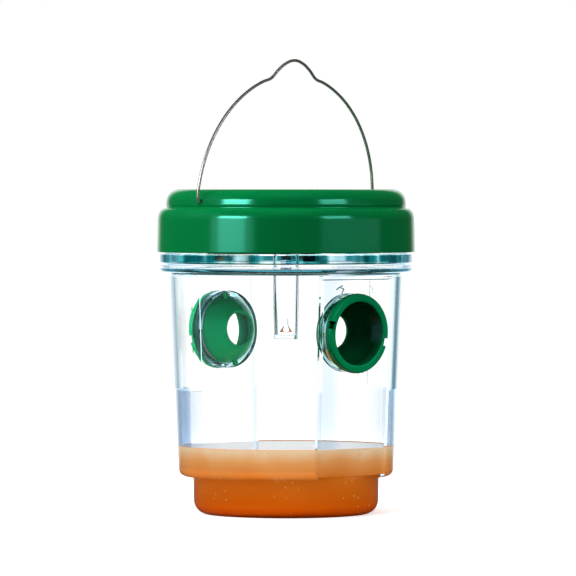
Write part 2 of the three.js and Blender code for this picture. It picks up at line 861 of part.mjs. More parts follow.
function makeLampHolder() {
  return bar(holderRadius, skirtBottom - lampDrop + lampLength + gap, boardBottom - gap);
}

function makeSwitchBody() {
  const bottom = plateTop + gap;
  return block(switchLength, switchWidth, bottom, bottom + switchHeight, knobTravel / 2, -switchOffset);
}

function makeKnob() {
  const top = skirtBottom - gap;
  const thumb = block(knobLength, knobWidth, top - knobHeight, top, 0, -switchOffset, gap);
  const stem = block(stemLength, stemWidth, top - knobHeight / 2, plateTop, 0, -switchOffset);
  return join(thumb, stem);
}

function makeLightTube() {
  const bottom = skirtBottom - tubeDrop;
  const seat = plateTop + gap;
  const floor = bottom + tubeWall;
  return revolve(
    outline([
      [0, bottom],
      [tubeBottomRadius, bottom, tubeWall / 2],
      [tubeTopRadius, seat],
      [tubeTopRadius + tubeFlangeStep, seat],
      [tubeTopRadius + tubeFlangeStep, seat + tubeFlangeThickness],
      [tubeTopRadius - tubeWall, seat + tubeFlangeThickness],
      [tubeBottomRadius - tubeWall, floor],
      [stemRadius, floor + coneHeight, coneHeight / 2],
      [stemRadius, floor + coneHeight + stemHeight],
      [0, floor + coneHeight + stemHeight],
    ]),
    tubeSegments,
  );
}

// A lead through its points
function lead(points) {
  const curve = new THREE.CatmullRomCurve3(points.map(([x, y, z]) => new THREE.Vector3(x, y, z)));
  return wire(curve, leadRadius, leadSides, leadSteps);
}

// One lead of the pair from the solar panel to the board
function solarLead(side) {
  const top = lidTop - pocketDepth;
  const x = side * leadSpacing;
  return lead([
    [x, -leadHoleOffset, top],
    [x, -leadHoleOffset, pocketUnderside],
    [x, -leadHoleOffset, pocketUnderside - leadRise],
    [x, -leadHoleOffset / 2, boardTop + leadRise],
    [x, -leadHoleOffset / 2, boardTop + gap],
  ]);
}

// The lead from one of the battery's contacts to the board
function batteryLead(side) {
  const contact = side * (contactFace + contactThickness / 2);
  const end = side * boardLeadSpacing;
  const endDepth = boardMiddle + boardWidth / 4;
  const crest = contactTop + leadRise;
  return lead([
    [contact, batteryOffset, contactTop + gap],
    [contact, batteryOffset, crest],
    [(contact + end) / 2, (batteryOffset + endDepth) / 2, crest],
    [end, endDepth, crest],
    [end, endDepth, boardTop + gap],
  ]);
}

const trap = new THREE.Group();

function addPiece(parent, name, piece, material) {
  const geometry = piece.isBufferGeometry ? piece : shape(piece);
  const mesh = new THREE.Mesh(geometry, material);
  mesh.name = name;
  parent.add(mesh);
  return mesh;
}

addPiece(trap, 'jar', makeJar(), clearPlastic);
addPiece(trap, 'bait_syrup', jarInside(gap, jarWall + gap + baitDepth), baitSyrup);
for (const [name, isBack] of [['entry_front', false], ['entry_back', true]]) {
  const entry = addPiece(trap, name, makeEntry(), greenPlastic);
  entryFrame(isBack).decompose(entry.position, entry.quaternion, entry.scale);
}
addPiece(trap, 'lid_seal', makeSeal(), paleRubber);

const lid = new THREE.Group();
lid.rotation.z = lidTurnAtRest * degree;
trap.add(lid);
addPiece(lid, 'lid_shell', makeLidShell(), greenPlastic);
addPiece(lid, 'solar_window', makeSolarWindow(), clearPlastic);
addPiece(lid, 'solar_cell', makeSolarCell(), darkCell);
addPiece(lid, 'lamp_housing', makeHousing(), greenPlastic);
addPiece(lid, 'battery_door', makeBatteryDoor(), greenPlastic);
addPiece(lid, 'battery', makeBattery(), batteryWrap);
addPiece(lid, 'battery_contact_plus', makeContact(1, batteryLength / 2 + nubHeight + gap), nickelPlate);
addPiece(lid, 'battery_contact_minus', makeContact(-1, batteryLength / 2 + gap), nickelPlate);
addPiece(lid, 'circuit_board', makeBoard(), boardGreen);
addPiece(lid, 'charge_chip', makeChip(), blackPlastic);
addPiece(lid, 'uv_lamp', makeLamp(), lampPlastic);
addPiece(lid, 'lamp_holder', makeLampHolder(), blackPlastic);
addPiece(lid, 'light_tube', makeLightTube(), clearPlastic);
addPiece(lid, 'switch_body', makeSwitchBody(), blackPlastic);
addPiece(lid, 'switch_knob', makeKnob(), blackPlastic);
addPiece(lid, 'solar_lead_plus', solarLead(1), redWire);
addPiece(lid, 'solar_lead_minus', solarLead(-1), blackWire);
addPiece(lid, 'battery_lead_plus', batteryLead(1), redWire);
addPiece(lid, 'battery_lead_minus', batteryLead(-1), blackWire);
const screwSets = [
  ['housing_screw', postPlaces, makeHousingScrew],
  ['door_screw', doorScrewPlaces, makeDoorScrew],
  ['board_screw', boardScrewPlaces, makeBoardScrew],
];
for (const [name, places, makeScrew] of screwSets) {
  places.forEach((place, index) => addPiece(lid, `${name}_${index + 1}`, makeScrew(place), nickelPlate));
}
addPiece(lid, 'bail', makeBail(), steelWire);

export default trap;
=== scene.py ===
"""Solar insect trap: the looks of its clear jar, funnel entries, green lid, bail and light tube.

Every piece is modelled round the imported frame, in metres, and rides on the frame's own bodies.
"""

import math

import bpy
from bpy.props import FloatProperty, FloatVectorProperty, IntProperty, PointerProperty
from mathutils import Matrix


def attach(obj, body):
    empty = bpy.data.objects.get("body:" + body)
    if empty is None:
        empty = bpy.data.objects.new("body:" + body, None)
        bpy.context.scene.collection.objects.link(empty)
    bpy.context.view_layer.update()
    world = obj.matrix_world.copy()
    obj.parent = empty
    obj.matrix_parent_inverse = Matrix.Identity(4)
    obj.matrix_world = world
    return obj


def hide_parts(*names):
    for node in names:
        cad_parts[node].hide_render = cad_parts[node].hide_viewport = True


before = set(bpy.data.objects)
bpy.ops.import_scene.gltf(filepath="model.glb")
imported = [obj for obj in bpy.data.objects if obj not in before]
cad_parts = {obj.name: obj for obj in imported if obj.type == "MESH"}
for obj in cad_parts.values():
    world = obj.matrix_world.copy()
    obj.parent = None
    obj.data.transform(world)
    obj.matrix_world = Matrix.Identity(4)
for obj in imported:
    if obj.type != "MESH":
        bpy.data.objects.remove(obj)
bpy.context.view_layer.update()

bl_info = {
    "name": "Solar insect trap",
    "version": (1, 0, 0),
    "blender": (4, 5, 0),
    "location": "View3D > Sidebar > Insect trap",
    "description": "Builds a hanging insect trap with a clear jar, funnel entries and a solar lid",
    "category": "Add Mesh",
}

MM = 0.001
FULL_TURN = math.tau
HALF_TURN = math.pi
QUARTER_TURN = math.pi / 2
WELD = 0.001 * MM
QUARTERS = [QUARTER_TURN * index for index in range(4)]
FLASHES = 8.0  # painted white glints round the flange
FLASH_TURN = math.radians(153.2)
BEAD_SHADE_TURN = math.radians(132)  # where the painted shade on the bead lies


def length(name, millimetres, description):
    """A size that is set in millimetres and kept in metres."""
    return FloatProperty(
        name=name,
        description=description,
        default=millimetres * MM,
        precision=5,
        unit="LENGTH",
        subtype="DISTANCE",
    )


def turn(name, degrees, description):
    """An angle that is set in degrees."""
    return FloatProperty(
        name=name,
        description=description,
        default=math.radians(degrees),
        unit="ROTATION",
        subtype="ANGLE",
    )


def share(name, value, description, most=1.0):
    """A plain number from zero up."""
    return FloatProperty(name=name, description=description, default=value, min=0.0, max=most)


def linear(channel):
    """One channel of a screen colour, 0 to 255, as linear light."""
    level = channel / 255
    return level / 12.92 if level <= 0.04045 else ((level + 0.055) / 1.055) ** 2.4


def colour(name, screen, description):
    """A colour that is given as screen values, 0 to 255."""
    return FloatVectorProperty(
        name=name,
        description=description,
        default=[linear(channel) for channel in screen],
        min=0.0,
        max=1.0,
        size=3,
        subtype="COLOR",
    )


class TrapJar(bpy.types.PropertyGroup):
    """Sizes of the jar, measured from the middle of its underside."""

    wall: length("Wall", 1.7, "Thickness of the jar's wall")
    foot_radius: length("Foot radius", 47.0, "Radius of the foot at its top")
    foot_draft: length("Foot draft", 0.5, "How much narrower the foot is at its underside")
    foot_height: length("Foot height", 19.2, "Level where the body starts")
    foot_round: length("Foot round", 7.0, "Rounding of the foot's lower edge")
    shoulder_radius: length("Shoulder radius", 54.2, "Radius of the body at its bottom")
    shoulder_round: length("Shoulder round", 5.6, "Rounding of the body's lower edge")
    body_radius: length("Body top radius", 58.3, "Radius of the body under its bead")
    bead_bottom: length("Bead bottom", 122.6, "Level where the bead starts")
    bead_top: length("Bead top", 126.2, "Level where the bead ends")
    bead_radius: length("Bead radius", 63.8, "Radius of the bead")
    bead_round: length("Bead round", 2.4, "Rounding of the bead's lower edge")
    groove_radius: length("Groove radius", 61.5, "Radius of the groove over the bead")
    flange_bottom: length("Flange bottom", 127.2, "Level where the flange starts")
    flange_top: length("Flange top", 131.7, "Level where the flange ends")
    flange_radius: length("Flange radius", 64.0, "Radius of the flange")
    neck_radius: length("Neck radius", 61.2, "Outer radius of the neck")
    neck_bore: length("Neck bore", 59.2, "Inner radius of the neck")
    neck_top: length("Neck top", 150.0, "Level of the jar's rim")
    edge_round: length("Edge round", 0.35, "Rounding of the small edges")
    pad_rise: length("Pad rise", 0.5, "How far the grip pads stand out")
    pad_bottom: length("Pad bottom", 63.2, "Level where the grip pads start")
    pad_top: length("Pad top", 120.6, "Level where the grip pads end")
    pad_arc: turn("Pad arc", 75.0, "How far each grip pad goes round the body")
    panel_distance: length("Panel distance", 50.603, "From the jar's axis to an entry panel")
    panel_half_width: length("Panel half width", 20.5, "Half of a panel's flat width")
    panel_reach: length("Panel reach", 13.0, "Depth of the space that is cut for a panel")
    panel_flare: turn("Panel flare", 19.0, "Slant of a panel's sides")
    panel_top: length("Panel top", 27.1, "Top of a panel over the entry's middle")
    panel_bottom: length("Panel bottom", 75.2, "Bottom of a panel under the entry's middle")
    entry_level: length("Entry level", 92.4, "Level of the entries' middle")
    lean: turn("Lean", 2.2707, "Slant of the body's side")
    collar_radius: length("Collar radius", 19.85, "Outer radius of the collar round an entry")
    collar_bore: length("Collar bore", 17.95, "Inner radius of the collar")
    collar_end: length("Collar end", 6.3, "Reach of the collar into the jar")
    lug_radius: length("Lug radius", 62.7, "Radius over the neck's lugs")
    lug_bottom: length("Lug bottom", 139.1, "Level of the neck's lugs")
    lug_height: length("Lug height", 2.5, "Height of a neck lug")
    lug_arc: turn("Lug arc", 25.0, "How far a neck lug goes round")
    slot_radius: length("Slot radius", 19.25, "Outer radius of the slots for an entry's lugs")
    slot_arc: turn("Slot arc", 22.0, "How far a slot goes round")
    notch_width: length("Notch width", 6.0, "Width of the notch under an entry's hole, at its inner end")
    notch_bottom: length("Notch bottom", 21.5, "From an entry's middle down to the notch's tip")
    notch_top: length("Notch top", 16.0, "From an entry's middle down to the notch's top")
    notch_end: length("Notch end", 8.3, "Reach of the notch into the jar")
    tooth_radius: length("Tooth radius", 0.5, "Radius of a fine tooth on the collar's end")
    tooth_reach: length("Tooth reach", 0.55, "How far a fine tooth stands out")
    tooth_start: turn("Tooth start", 58.0, "Turn of the first fine tooth")
    tooth_pitch: turn("Tooth pitch", 4.0, "Turn from one fine tooth to the next")
    teeth: IntProperty(name="Teeth", description="Fine teeth on a collar", default=9, min=1)
    arrow_radius: length("Arrow radius", 25.4, "From an entry's middle to its arrows")
    arrow_width: length("Arrow width", 0.6, "Width of an arrow's shaft")
    arrow_arc: turn("Arrow arc", 11.0, "How far an arrow's shaft goes round")
    arrow_turn: turn("Arrow turn", 25.0, "From the panel's middle to an arrow")
    sides: IntProperty(name="Sides", description="Facets round the jar", default=144, min=24)


class TrapEntry(bpy.types.PropertyGroup):
    """Sizes of a funnel entry, measured from the outer face of its panel."""

    mouth_radius: length("Mouth radius", 16.0, "Inner radius at the ring")
    cup_radius: length("Cup radius", 17.6, "Outer radius of the cup")
    ring_radius: length("Ring radius", 19.8, "Outer radius of the finger ring")
    ring_seat: length("Ring seat", 0.3, "Gap between the ring and the panel")
    ring_front: length("Ring front", 4.4, "Level of the ring's face")
    ring_round: length("Ring round", 1.0, "Rounding of the ring's outer edge")
    straight_end: length("Straight end", 3.2, "Depth where the cup starts to close")
    cup_depth: length("Cup depth", 15.0, "Depth of the cup's inner end")
    exit_radius: length("Exit radius", 8.4, "Radius of the exit hole")
    exit_lip: length("Exit lip", 1.2, "Flat rim round the exit hole")
    wall: length("Wall", 1.6, "Wall of the cup")
    notch_width: length("Notch width", 4.0, "Width of a finger notch")
    notch_depth: length("Notch depth", 2.6, "Depth of a finger notch")
    notch_start: length("Notch start", 17.2, "Radius where a finger notch starts")
    notch_turn: turn("Notch turn", -14.0, "Tilt of the two notches")
    lug_radius: length("Lug radius", 18.9, "Radius over the cup's lugs")
    lug_bottom: length("Lug bottom", -8.1, "Level of a lug's inner side")
    lug_top: length("Lug top", -6.6, "Level of a lug's outer side")
    lug_arc: turn("Lug arc", 8.0, "How far a lug goes round")
    lug_turn: turn("Lug turn", 80.0, "Turn of the first lug")
    tooth_turn: turn("Tooth turn", -2.0, "Turn of the middle tooth from the top of the ring")
    tooth_pitch: turn("Tooth pitch", 8.0, "Turn from one grip tooth to the next")
    tooth_radius: length("Tooth radius", 1.2, "Radius of a grip tooth on the ring")
    sides: IntProperty(name="Sides", description="Facets round an entry", default=96, min=24)


class TrapLid(bpy.types.PropertyGroup):
    """Sizes of the lid, measured from the jar's underside."""

    turn_at_rest: turn("Turn at rest", 3.0, "Turn of the lid on the jar")
    skirt_bottom: length("Skirt bottom", 132.5, "Level of the skirt's lower edge")
    skirt_radius: length("Skirt radius", 65.3, "Radius of the skirt")
    skirt_bore: length("Skirt bore", 63.1, "Inner radius of the skirt")
    skirt_draft: length("Skirt draft", 0.4, "How much narrower the skirt is at its top")
    shoulder_drop: length("Shoulder drop", 5.6, "Height of the skirt's rounded shoulder")
    edge_round: length("Edge round", 0.6, "Rounding of the skirt's lower edge")
    tier_bottom: length("Tier bottom", 154.6, "Level where the upper tier starts")
    tier_radius: length("Tier radius", 60.6, "Radius of the upper tier")
    tier_bore: length("Tier bore", 58.4, "Inner radius of the upper tier")
    tier_round: length("Tier round", 6.5, "Rounding of the top edge")
    tier_fillet: length("Tier fillet", 0.8, "Rounding where the tier meets the shoulder")
    swell_bottom: length("Swell bottom", 155.4, "Level where the tier's swell starts")
    swell_top: length("Swell top", 157.7, "Level where the tier's swell ends")
    swell_rise: length("Swell rise", 0.12, "How far the tier's swell stands out")
    top: length("Top", 164.2, "Level of the lid's top")
    wall: length("Wall", 2.2, "Wall of the lid")
    pocket_size: length("Pocket size", 61.6, "Side of the solar panel's pocket")
    pocket_round: length("Pocket round", 2.0, "Corner radius of the pocket")
    pocket_depth: length("Pocket depth", 2.9, "Depth of the pocket")
    pocket_floor: length("Pocket floor", 2.0, "Thickness under and round the pocket")
    post_radius: length("Post radius", 3.4, "Radius of a screw post")
    post_distance: length("Post distance", 46.733, "From the lid's axis to a screw post")
    post_length: length("Post length", 4.7, "Length of a screw post")
    post_hole: length("Post hole", 1.5, "Radius of a screw post's hole")
    lug_radius: length("Lug radius", 61.6, "Radius inside the skirt's lugs")
    lug_top: length("Lug top", 138.5, "Level over the skirt's lugs")
    lug_height: length("Lug height", 2.5, "Height of a skirt lug")
    lug_arc: turn("Lug arc", 25.0, "How far a skirt lug goes round")
    pivot_level: length("Pivot level", 157.8, "Level of the bail's pivots")
    pivot_hole: length("Pivot hole", 1.25, "Radius of a pivot hole")
    lead_hole: length("Lead hole", 2.6, "Radius of the hole for the leads")
    lead_offset: length("Lead offset", 20.0, "From the lid's axis to the hole for the leads")
    sides: IntProperty(name="Sides", description="Facets round the lid", default=192, min=24)


class TrapBail(bpy.types.PropertyGroup):
    """Sizes of the wire bail, measured from its pivots."""

    wire_radius: length("Wire radius", 0.76, "Radius of the wire")
    wire_end: length("Wire end", 56.0, "From the lid's axis to the wire's ends")
    half_span: length("Half span", 62.5, "Half of the bail's width")
    bend_radius: length("Bend radius", 2.6, "Bend over each pivot")
    rise: length("Rise", 64.8, "Rise of the oval that the wire follows")
    hump_half_width: length("Hump half width", 16.0, "Half of the hump's width")
    hump_rise: length("Hump rise", 9.2, "Rise of the crown over the hump's sides")
    lean: turn("Lean", 5.0, "Lean of the bail to the front")


class TrapTube(bpy.types.PropertyGroup):
    """Sizes of the light tube and its lamp."""

    bottom: length("Bottom", 88.4, "Level of the tube's closed end")
    seat: length("Seat", 134.6, "Level where the tube hangs in the housing")
    top_radius: length("Top radius", 6.95, "Radius of the tube at its top")
    bottom_radius: length("Bottom radius", 6.1, "Radius of the tube at its bottom")
    wall: length("Wall", 1.2, "Wall of the tube")
    flange: length("Flange", 2.2, "How far the tube's flange stands out")
    flange_height: length("Flange height", 1.4, "Thickness of the tube's flange")
    cone_height: length("Cone height", 5.6, "Height of the cone in the closed end")
    stem_height: length("Stem height", 3.8, "Height of the stem on the cone")
    stem_radius: length("Stem radius", 1.15, "Radius of the stem")
    lamp_tip: length("Lamp tip", 122.0, "Level of the lamp's tip")
    lamp_radius: length("Lamp radius", 2.8, "Radius of the lamp")
    lamp_length: length("Lamp length", 6.4, "Length of the lamp")
    holder_radius: length("Holder radius", 2.5, "Radius of the lamp's holder")
    holder_top: length("Holder top", 139.1, "Level of the holder's top")
    sides: IntProperty(name="Sides", description="Facets round the tube", default=72, min=24)


class TrapBait(bpy.types.PropertyGroup):
    """Sizes of the bait in the jar's foot."""

    top: length("Top", 34.5, "Level of the bait")
    contact: length("Contact", 0.05, "How far the bait wets into the jar's inner face")
    rise: length("Meniscus", 0.25, "How far the bait climbs at the wall")


class TrapFinish(bpy.types.PropertyGroup):
    """Colours of the pieces."""

    lid_green: colour("Lid green", (0, 122, 60), "Plastic of the lid")
    entry_green: colour("Entry green", (0, 168, 102), "Plastic of the entries")
    # painted shade: the colour laid deep inside the entries, where shade falls
    hollow_shade_green: colour("Hollow green", (0, 34, 12), "Plastic deep inside the entries")
    bait_top: colour("Bait top", (246, 216, 174), "Bait just under its surface")
    bait_upper: colour("Bait upper part", (234, 164, 96), "Bait a little lower")
    bait_middle: colour("Bait middle", (218, 116, 26), "Bait in the middle")
    bait_bottom: colour("Bait bottom", (214, 96, 3), "Bait at the bottom")
    clear_tint: colour("Clear tint", (254, 255, 255), "Clear plastic")
    steel: colour("Steel", (206, 203, 196), "Wire of the bail")
    cell_blue: colour("Cell blue", (14, 20, 44), "Solar cells")
    cell_silver: colour("Cell silver", (168, 172, 178), "Lines on the solar cells")
    seal_grey: colour("Seal grey", (216, 216, 208), "Rubber of the seal")
    black: colour("Black", (28, 26, 26), "Switch, lamp holder and chip")
    board: colour("Board", (28, 90, 52), "Circuit board")
    wrap: colour("Battery wrap", (47, 125, 79), "Sleeve of the battery")
    nickel: colour("Nickel", (190, 186, 174), "Contacts and screws")
    red_lead: colour("Red lead", (168, 30, 26), "Positive leads")
    black_lead: colour("Black lead", (27, 27, 28), "Negative leads")
    lamp: colour("Lamp", (226, 224, 246), "Lens of the lamp")
    floor: colour("Floor", (240, 241, 242), "Floor under the trap")


class TrapStage(bpy.types.PropertyGroup):
    """Camera and lamps."""

    camera_turn: turn("Camera turn", -42.0, "From straight ahead to the camera, round the jar")
    camera_distance: length("Camera distance", 2600.0, "From the jar's axis to the camera")
    camera_height: length("Camera height", 162.0, "Level of the camera")
    aim_level: length("Aim level", 114.3, "Level on the jar's axis that the camera aims at")
    aim_side: length("Aim side", 1.0, "How far to the right of the axis the camera aims")
    lens: FloatProperty(name="Lens", description="Focal length in millimetres", default=320.8)
    world_light: share("World light", 0.12, "Light from all round", 4.0)
    inside_light: share("Inside light", 1.12, "Light on the left of what the jar holds", 4.0)
    inside_shade: share("Inside shade", 1.08, "Light on the right of what the jar holds", 4.0)
    dark_gloss: share("Dark gloss", 0.035, "How bright the studio looks in gloss")
    lamp_distance: length("Lamp distance", 1500.0, "From the trap to a lamp")


# Modelling


def settle():
    """Leaves edit mode, and leaves nothing selected."""
    if bpy.context.object and bpy.context.object.mode != "OBJECT":
        bpy.ops.object.mode_set(mode="OBJECT")
    bpy.ops.object.select_all(action="DESELECT")


def pick(piece):
    """Makes a piece the only one that is selected, and the active one."""
    settle()
    piece.select_set(True)
    bpy.context.view_layer.objects.active = piece
    return piece


def placed(piece, place=(0, 0, 0), turns=(0, 0, 0)):
    """Turns and moves a piece, and puts that into its mesh."""
    pick(piece)
    piece.location = place
    piece.rotation_euler = turns
    bpy.ops.object.transform_apply(location=True, rotation=True, scale=True)
    return piece


def copied(piece):
    """A copy of a piece, with a mesh of its own."""
    pick(piece)
    bpy.ops.object.duplicate()
    return bpy.context.object


def joined(pieces):
    """Several pieces as one object."""
    pick(pieces[0])
    for piece in pieces[1:]:
        piece.select_set(True)
    bpy.ops.object.join()
    return pieces[0]


def combined(piece, other, operation):
    """Adds the other piece to the first or cuts it away, and removes the other."""
    pick(piece)
    bpy.ops.object.modifier_add(type="BOOLEAN")
    change = piece.modifiers[-1]
    change.operation = operation
    change.object = other
    change.solver = "EXACT"
    bpy.ops.object.modifier_apply(modifier=change.name)
    pick(other)
    bpy.ops.object.delete()
    if not piece.data.polygons:
        raise RuntimeError(f"{piece.name} has nothing left after {operation.lower()}")
    return pick(piece)


def rounded(corners, closed=False, steps=8):
    """Points of an outline whose corners are (across, up) or (across, up, rounding)."""
    points = []
    count = len(corners)
    for index, corner in enumerate(corners):
        x, z = corner[:2]
        rounding = corner[2] if len(corner) > 2 else 0
        if not rounding or (not closed and index in (0, count - 1)):
            points.append((x, z))
            continue
        before, after = corners[index - 1], corners[(index + 1) % count]
        back = (before[0] - x, before[1] - z)
        ahead = (after[0] - x, after[1] - z)
        back_length, ahead_length = math.hypot(*back), math.hypot(*ahead)
        dot = (back[0] * ahead[0] + back[1] * ahead[1]) / (back_length * ahead_length)
        half = math.acos(max(-1, min(1, dot))) / 2
        back_room, ahead_room = (
            span * (0.5 if len(other) > 2 and other[2] else 0.98)
            for span, other in ((back_length, before), (ahead_length, after))
        )
        tangent = min(rounding / math.tan(half), back_room, ahead_room)
        radius = tangent * math.tan(half)
        start = [x + back[0] / back_length * tangent, z + back[1] / back_length * tangent]
        end = [x + ahead[0] / ahead_length * tangent, z + ahead[1] / ahead_length * tangent]
        inward = [(start[i] + end[i]) / 2 - (x, z)[i] for i in (0, 1)]
        reach = radius / math.sin(half) / math.hypot(*inward)
        centre = (x + inward[0] * reach, z + inward[1] * reach)
        first = math.atan2(start[1] - centre[1], start[0] - centre[0])
        last = math.atan2(end[1] - centre[1], end[0] - centre[0])
        sweep = (last - first + HALF_TURN) % FULL_TURN - HALF_TURN
        for step in range(steps + 1):
            angle = first + sweep * step / steps
            points.append((centre[0] + radius * math.cos(angle), centre[1] + radius * math.sin(angle)))
    return points


def added(name):
    """The object that was just added, with its name."""
    piece = bpy.context.object
    piece.name = piece.data.name = name
    return piece


def drawn(name, points, closed):
    """An outline beside the axis, drawn by extruding one corner from point to point."""
    settle()
    (x, z), rest = points[0], list(points[1:]) + ([points[0]] if closed else [])
    bpy.ops.mesh.primitive_plane_add(size=MM, location=(x, 0, z))
    piece = added(name)
    bpy.ops.object.mode_set(mode="EDIT")
    bpy.ops.mesh.select_mode(type="VERT")
    bpy.ops.mesh.select_all(action="SELECT")
    bpy.ops.mesh.merge(type="CENTER")
    for next_x, next_z in rest:
        step = (next_x - x, 0, next_z - z)
        bpy.ops.mesh.extrude_region_move(TRANSFORM_OT_translate={"value": step})
        x, z = next_x, next_z
    return piece


def welded():
    """Merges the corners that meet, and leaves everything selected."""
    bpy.ops.mesh.select_all(action="SELECT")
    bpy.ops.mesh.remove_doubles(threshold=WELD)
    bpy.ops.mesh.select_all(action="SELECT")


def turned(name, points, sides, closed=False, arc=FULL_TURN):
    """A piece turned about Z from an outline. One that spans only an arc has its ends filled."""
    piece = drawn(name, points, closed)
    welded()
    bpy.ops.object.mode_set(mode="OBJECT")
    bpy.ops.object.transform_apply(location=True, rotation=True, scale=True)
    bpy.ops.object.modifier_add(type="SCREW")
    change = piece.modifiers[-1]
    change.angle = arc
    change.steps = sides
    bpy.ops.object.modifier_apply(modifier=change.name)
    bpy.ops.object.mode_set(mode="EDIT")
    welded()
    if arc < FULL_TURN:
        bpy.ops.mesh.fill_holes(sides=0)
        bpy.ops.mesh.select_all(action="SELECT")
    bpy.ops.mesh.normals_make_consistent(inside=False)
    bpy.ops.object.mode_set(mode="OBJECT")
    return piece


def sector(name, points, sides, arc, middle=0.0):
    """A piece turned over an arc only, whose middle lies at an angle round the axis."""
    piece = turned(name, points, sides, closed=True, arc=arc)
    return placed(piece, turns=(0, 0, middle - arc / 2))


def copies(piece, turns, radius=None):
    """A piece and its copies as one: turned about the axis, or only moved to a radius round it."""
    pieces = [piece, *(copied(piece) for _ in turns[1:])]
    for each, angle in zip(pieces, turns):
        if radius is None:
            placed(each, turns=(0, 0, angle))
        else:
            placed(each, place=(radius * math.cos(angle), radius * math.sin(angle), 0))
    return joined(pieces)


def band(inner, outer, low, high):
    """The corners of a plain rectangular outline beside the axis."""
    return [(inner, low), (outer, low), (outer, high), (inner, high)]


def block(name, lows, highs, rounding=0.0):
    """A box between two corners, its upright edges rounded where a rounding is given."""
    settle()
    bpy.ops.mesh.primitive_cube_add(size=1, location=[(a + b) / 2 for a, b in zip(lows, highs)])
    piece = added(name)
    piece.scale = [b - a for a, b in zip(lows, highs)]
    bpy.ops.object.transform_apply(location=True, rotation=True, scale=True)
    if rounding:
        mark(piece, lambda a, b: abs(a.x - b.x) < WELD and abs(a.y - b.y) < WELD, edges=True)
        bpy.ops.mesh.bevel(offset=rounding, segments=6, affect="EDGES")
        bpy.ops.object.mode_set(mode="OBJECT")
    return piece


def mark(piece, test, edges=False):
    """Selects in edit mode the corners that pass a test, or the edges whose two ends pass it."""
    pick(piece)
    bpy.ops.object.mode_set(mode="EDIT")
    bpy.ops.mesh.select_mode(type="EDGE" if edges else "VERT")
    bpy.ops.mesh.select_all(action="DESELECT")
    bpy.ops.object.mode_set(mode="OBJECT")
    corners = piece.data.vertices
    if edges:
        for edge in piece.data.edges:
            edge.select = test(*(corners[index].co for index in edge.vertices))
    else:
        for corner in corners:
            corner.select = test(corner.co)
    bpy.ops.object.mode_set(mode="EDIT")


def peg(name, radius, low, high, x=0.0, y=0.0, sides=48):
    """An upright round peg."""
    settle()
    middle = (x, y, (low + high) / 2)
    bpy.ops.mesh.primitive_cylinder_add(vertices=sides, radius=radius, depth=high - low, location=middle)
    bpy.ops.object.transform_apply(location=True, rotation=True, scale=True)
    return added(name)


def finished(piece, name, body, material, replaced, smooth_degrees=15.0):
    """Gives a finished piece its name, smooth faces, material and place on the frame."""
    pick(piece)
    piece.name = piece.data.name = name
    bpy.ops.object.shade_smooth_by_angle(angle=math.radians(smooth_degrees))
    bpy.ops.object.modifier_add(type="WEIGHTED_NORMAL")
    piece.modifiers[-1].keep_sharp = True
    bpy.ops.object.modifier_apply(modifier=piece.modifiers[-1].name)
    piece.data.materials.clear()
    piece.data.materials.append(material)
    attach(piece, body)
    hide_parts(replaced)


def at_panel(piece, jar, back=False, tilt=QUARTER_TURN):
    """Brings a piece from an entry's own frame, its Z outward, to the front or back panel."""
    side, half = (1, HALF_TURN) if back else (-1, 0)
    place = (0, side * jar.panel_distance, jar.entry_level)
    return placed(piece, place=place, turns=(tilt + jar.lean, 0, half))


def on_panels(piece, jar, tilt=QUARTER_TURN):
    """A piece at the front panel and its copy at the back panel."""
    other = copied(piece)
    return [at_panel(piece, jar, False, tilt), at_panel(other, jar, True, tilt)]


def panel_space(jar, inset):
    """The space in front of both panels, moved into the jar by an inset."""
    half = jar.panel_half_width + inset * math.tan(jar.panel_flare / 2)
    reach = jar.panel_reach + inset
    spread = reach / math.tan(jar.panel_flare)
    lows, highs = (-half, inset - reach, -jar.panel_bottom), (half, inset, jar.panel_top + inset)
    space = block("space", lows, highs)
    mark(space, lambda place: place.y < inset - reach / 2)
    bpy.ops.transform.resize(value=((half + spread) / half, 1, 1), center_override=(0, 0, 0))
    bpy.ops.object.mode_set(mode="OBJECT")
    return joined(on_panels(space, jar, tilt=0.0))


def inside(jar, inset, top, rise=0.0):
    """The inside of the jar up to a level, an inset in from its outer face."""
    shelf = jar.foot_height + inset
    low = jar.foot_radius - inset
    corners = [
        (0, inset),
        (low - jar.foot_draft, inset, jar.foot_round - inset),
        (low, shelf, jar.edge_round),
        (jar.shoulder_radius - inset, shelf, jar.shoulder_round - inset),
    ]
    if top > jar.bead_top:
        corners += [
            (jar.body_radius - inset, jar.bead_bottom + inset, jar.edge_round),
            (jar.neck_bore, jar.bead_bottom + inset, jar.edge_round),
            (jar.neck_bore, top),
            (0, top),
        ]
    else:
        slope = (jar.body_radius - jar.shoulder_radius) / (jar.bead_bottom - jar.foot_height)
        side = jar.shoulder_radius - inset + (top + rise - jar.foot_height) * slope
        climb = ((0, 1), (0.3, 0.6), (1, 0.2), (3, 0))  # back from the wall and up, in rises
        corners += [(side - back * rise, top + up * rise) for back, up in climb]
        corners.append((0, top))
    body = turned("inside", rounded(corners), jar.sides)
    return combined(body, panel_space(jar, inset), "DIFFERENCE")


def aimed(spot, aim):
    """The turns that point a camera or lamp from one place to another."""
    x, y, z = (b - a for a, b in zip(spot, aim))
    return (QUARTER_TURN + math.atan2(z, math.hypot(x, y)), 0, math.atan2(-x, y))


# Materials


def feed(tree, node, inputs):
    """Sets or links a node's inputs by name."""
    for key, value in inputs.items():
        if isinstance(value, bpy.types.NodeSocket):
            tree.links.new(value, node.inputs[key])
        else:
            node.inputs[key].default_value = value


def put(tree, kind, inputs=None, **settings):
    """Adds a node with its settings and inputs."""
    made = tree.nodes.new("ShaderNode" + kind)
    for key, value in settings.items():
        setattr(made, key, value)
    feed(tree, made, inputs or {})
    return made


def sums(tree, operation, *values):
    """A Math node on numbers or sockets."""
    return put(tree, "Math", dict(enumerate(values)), operation=operation).outputs[0]


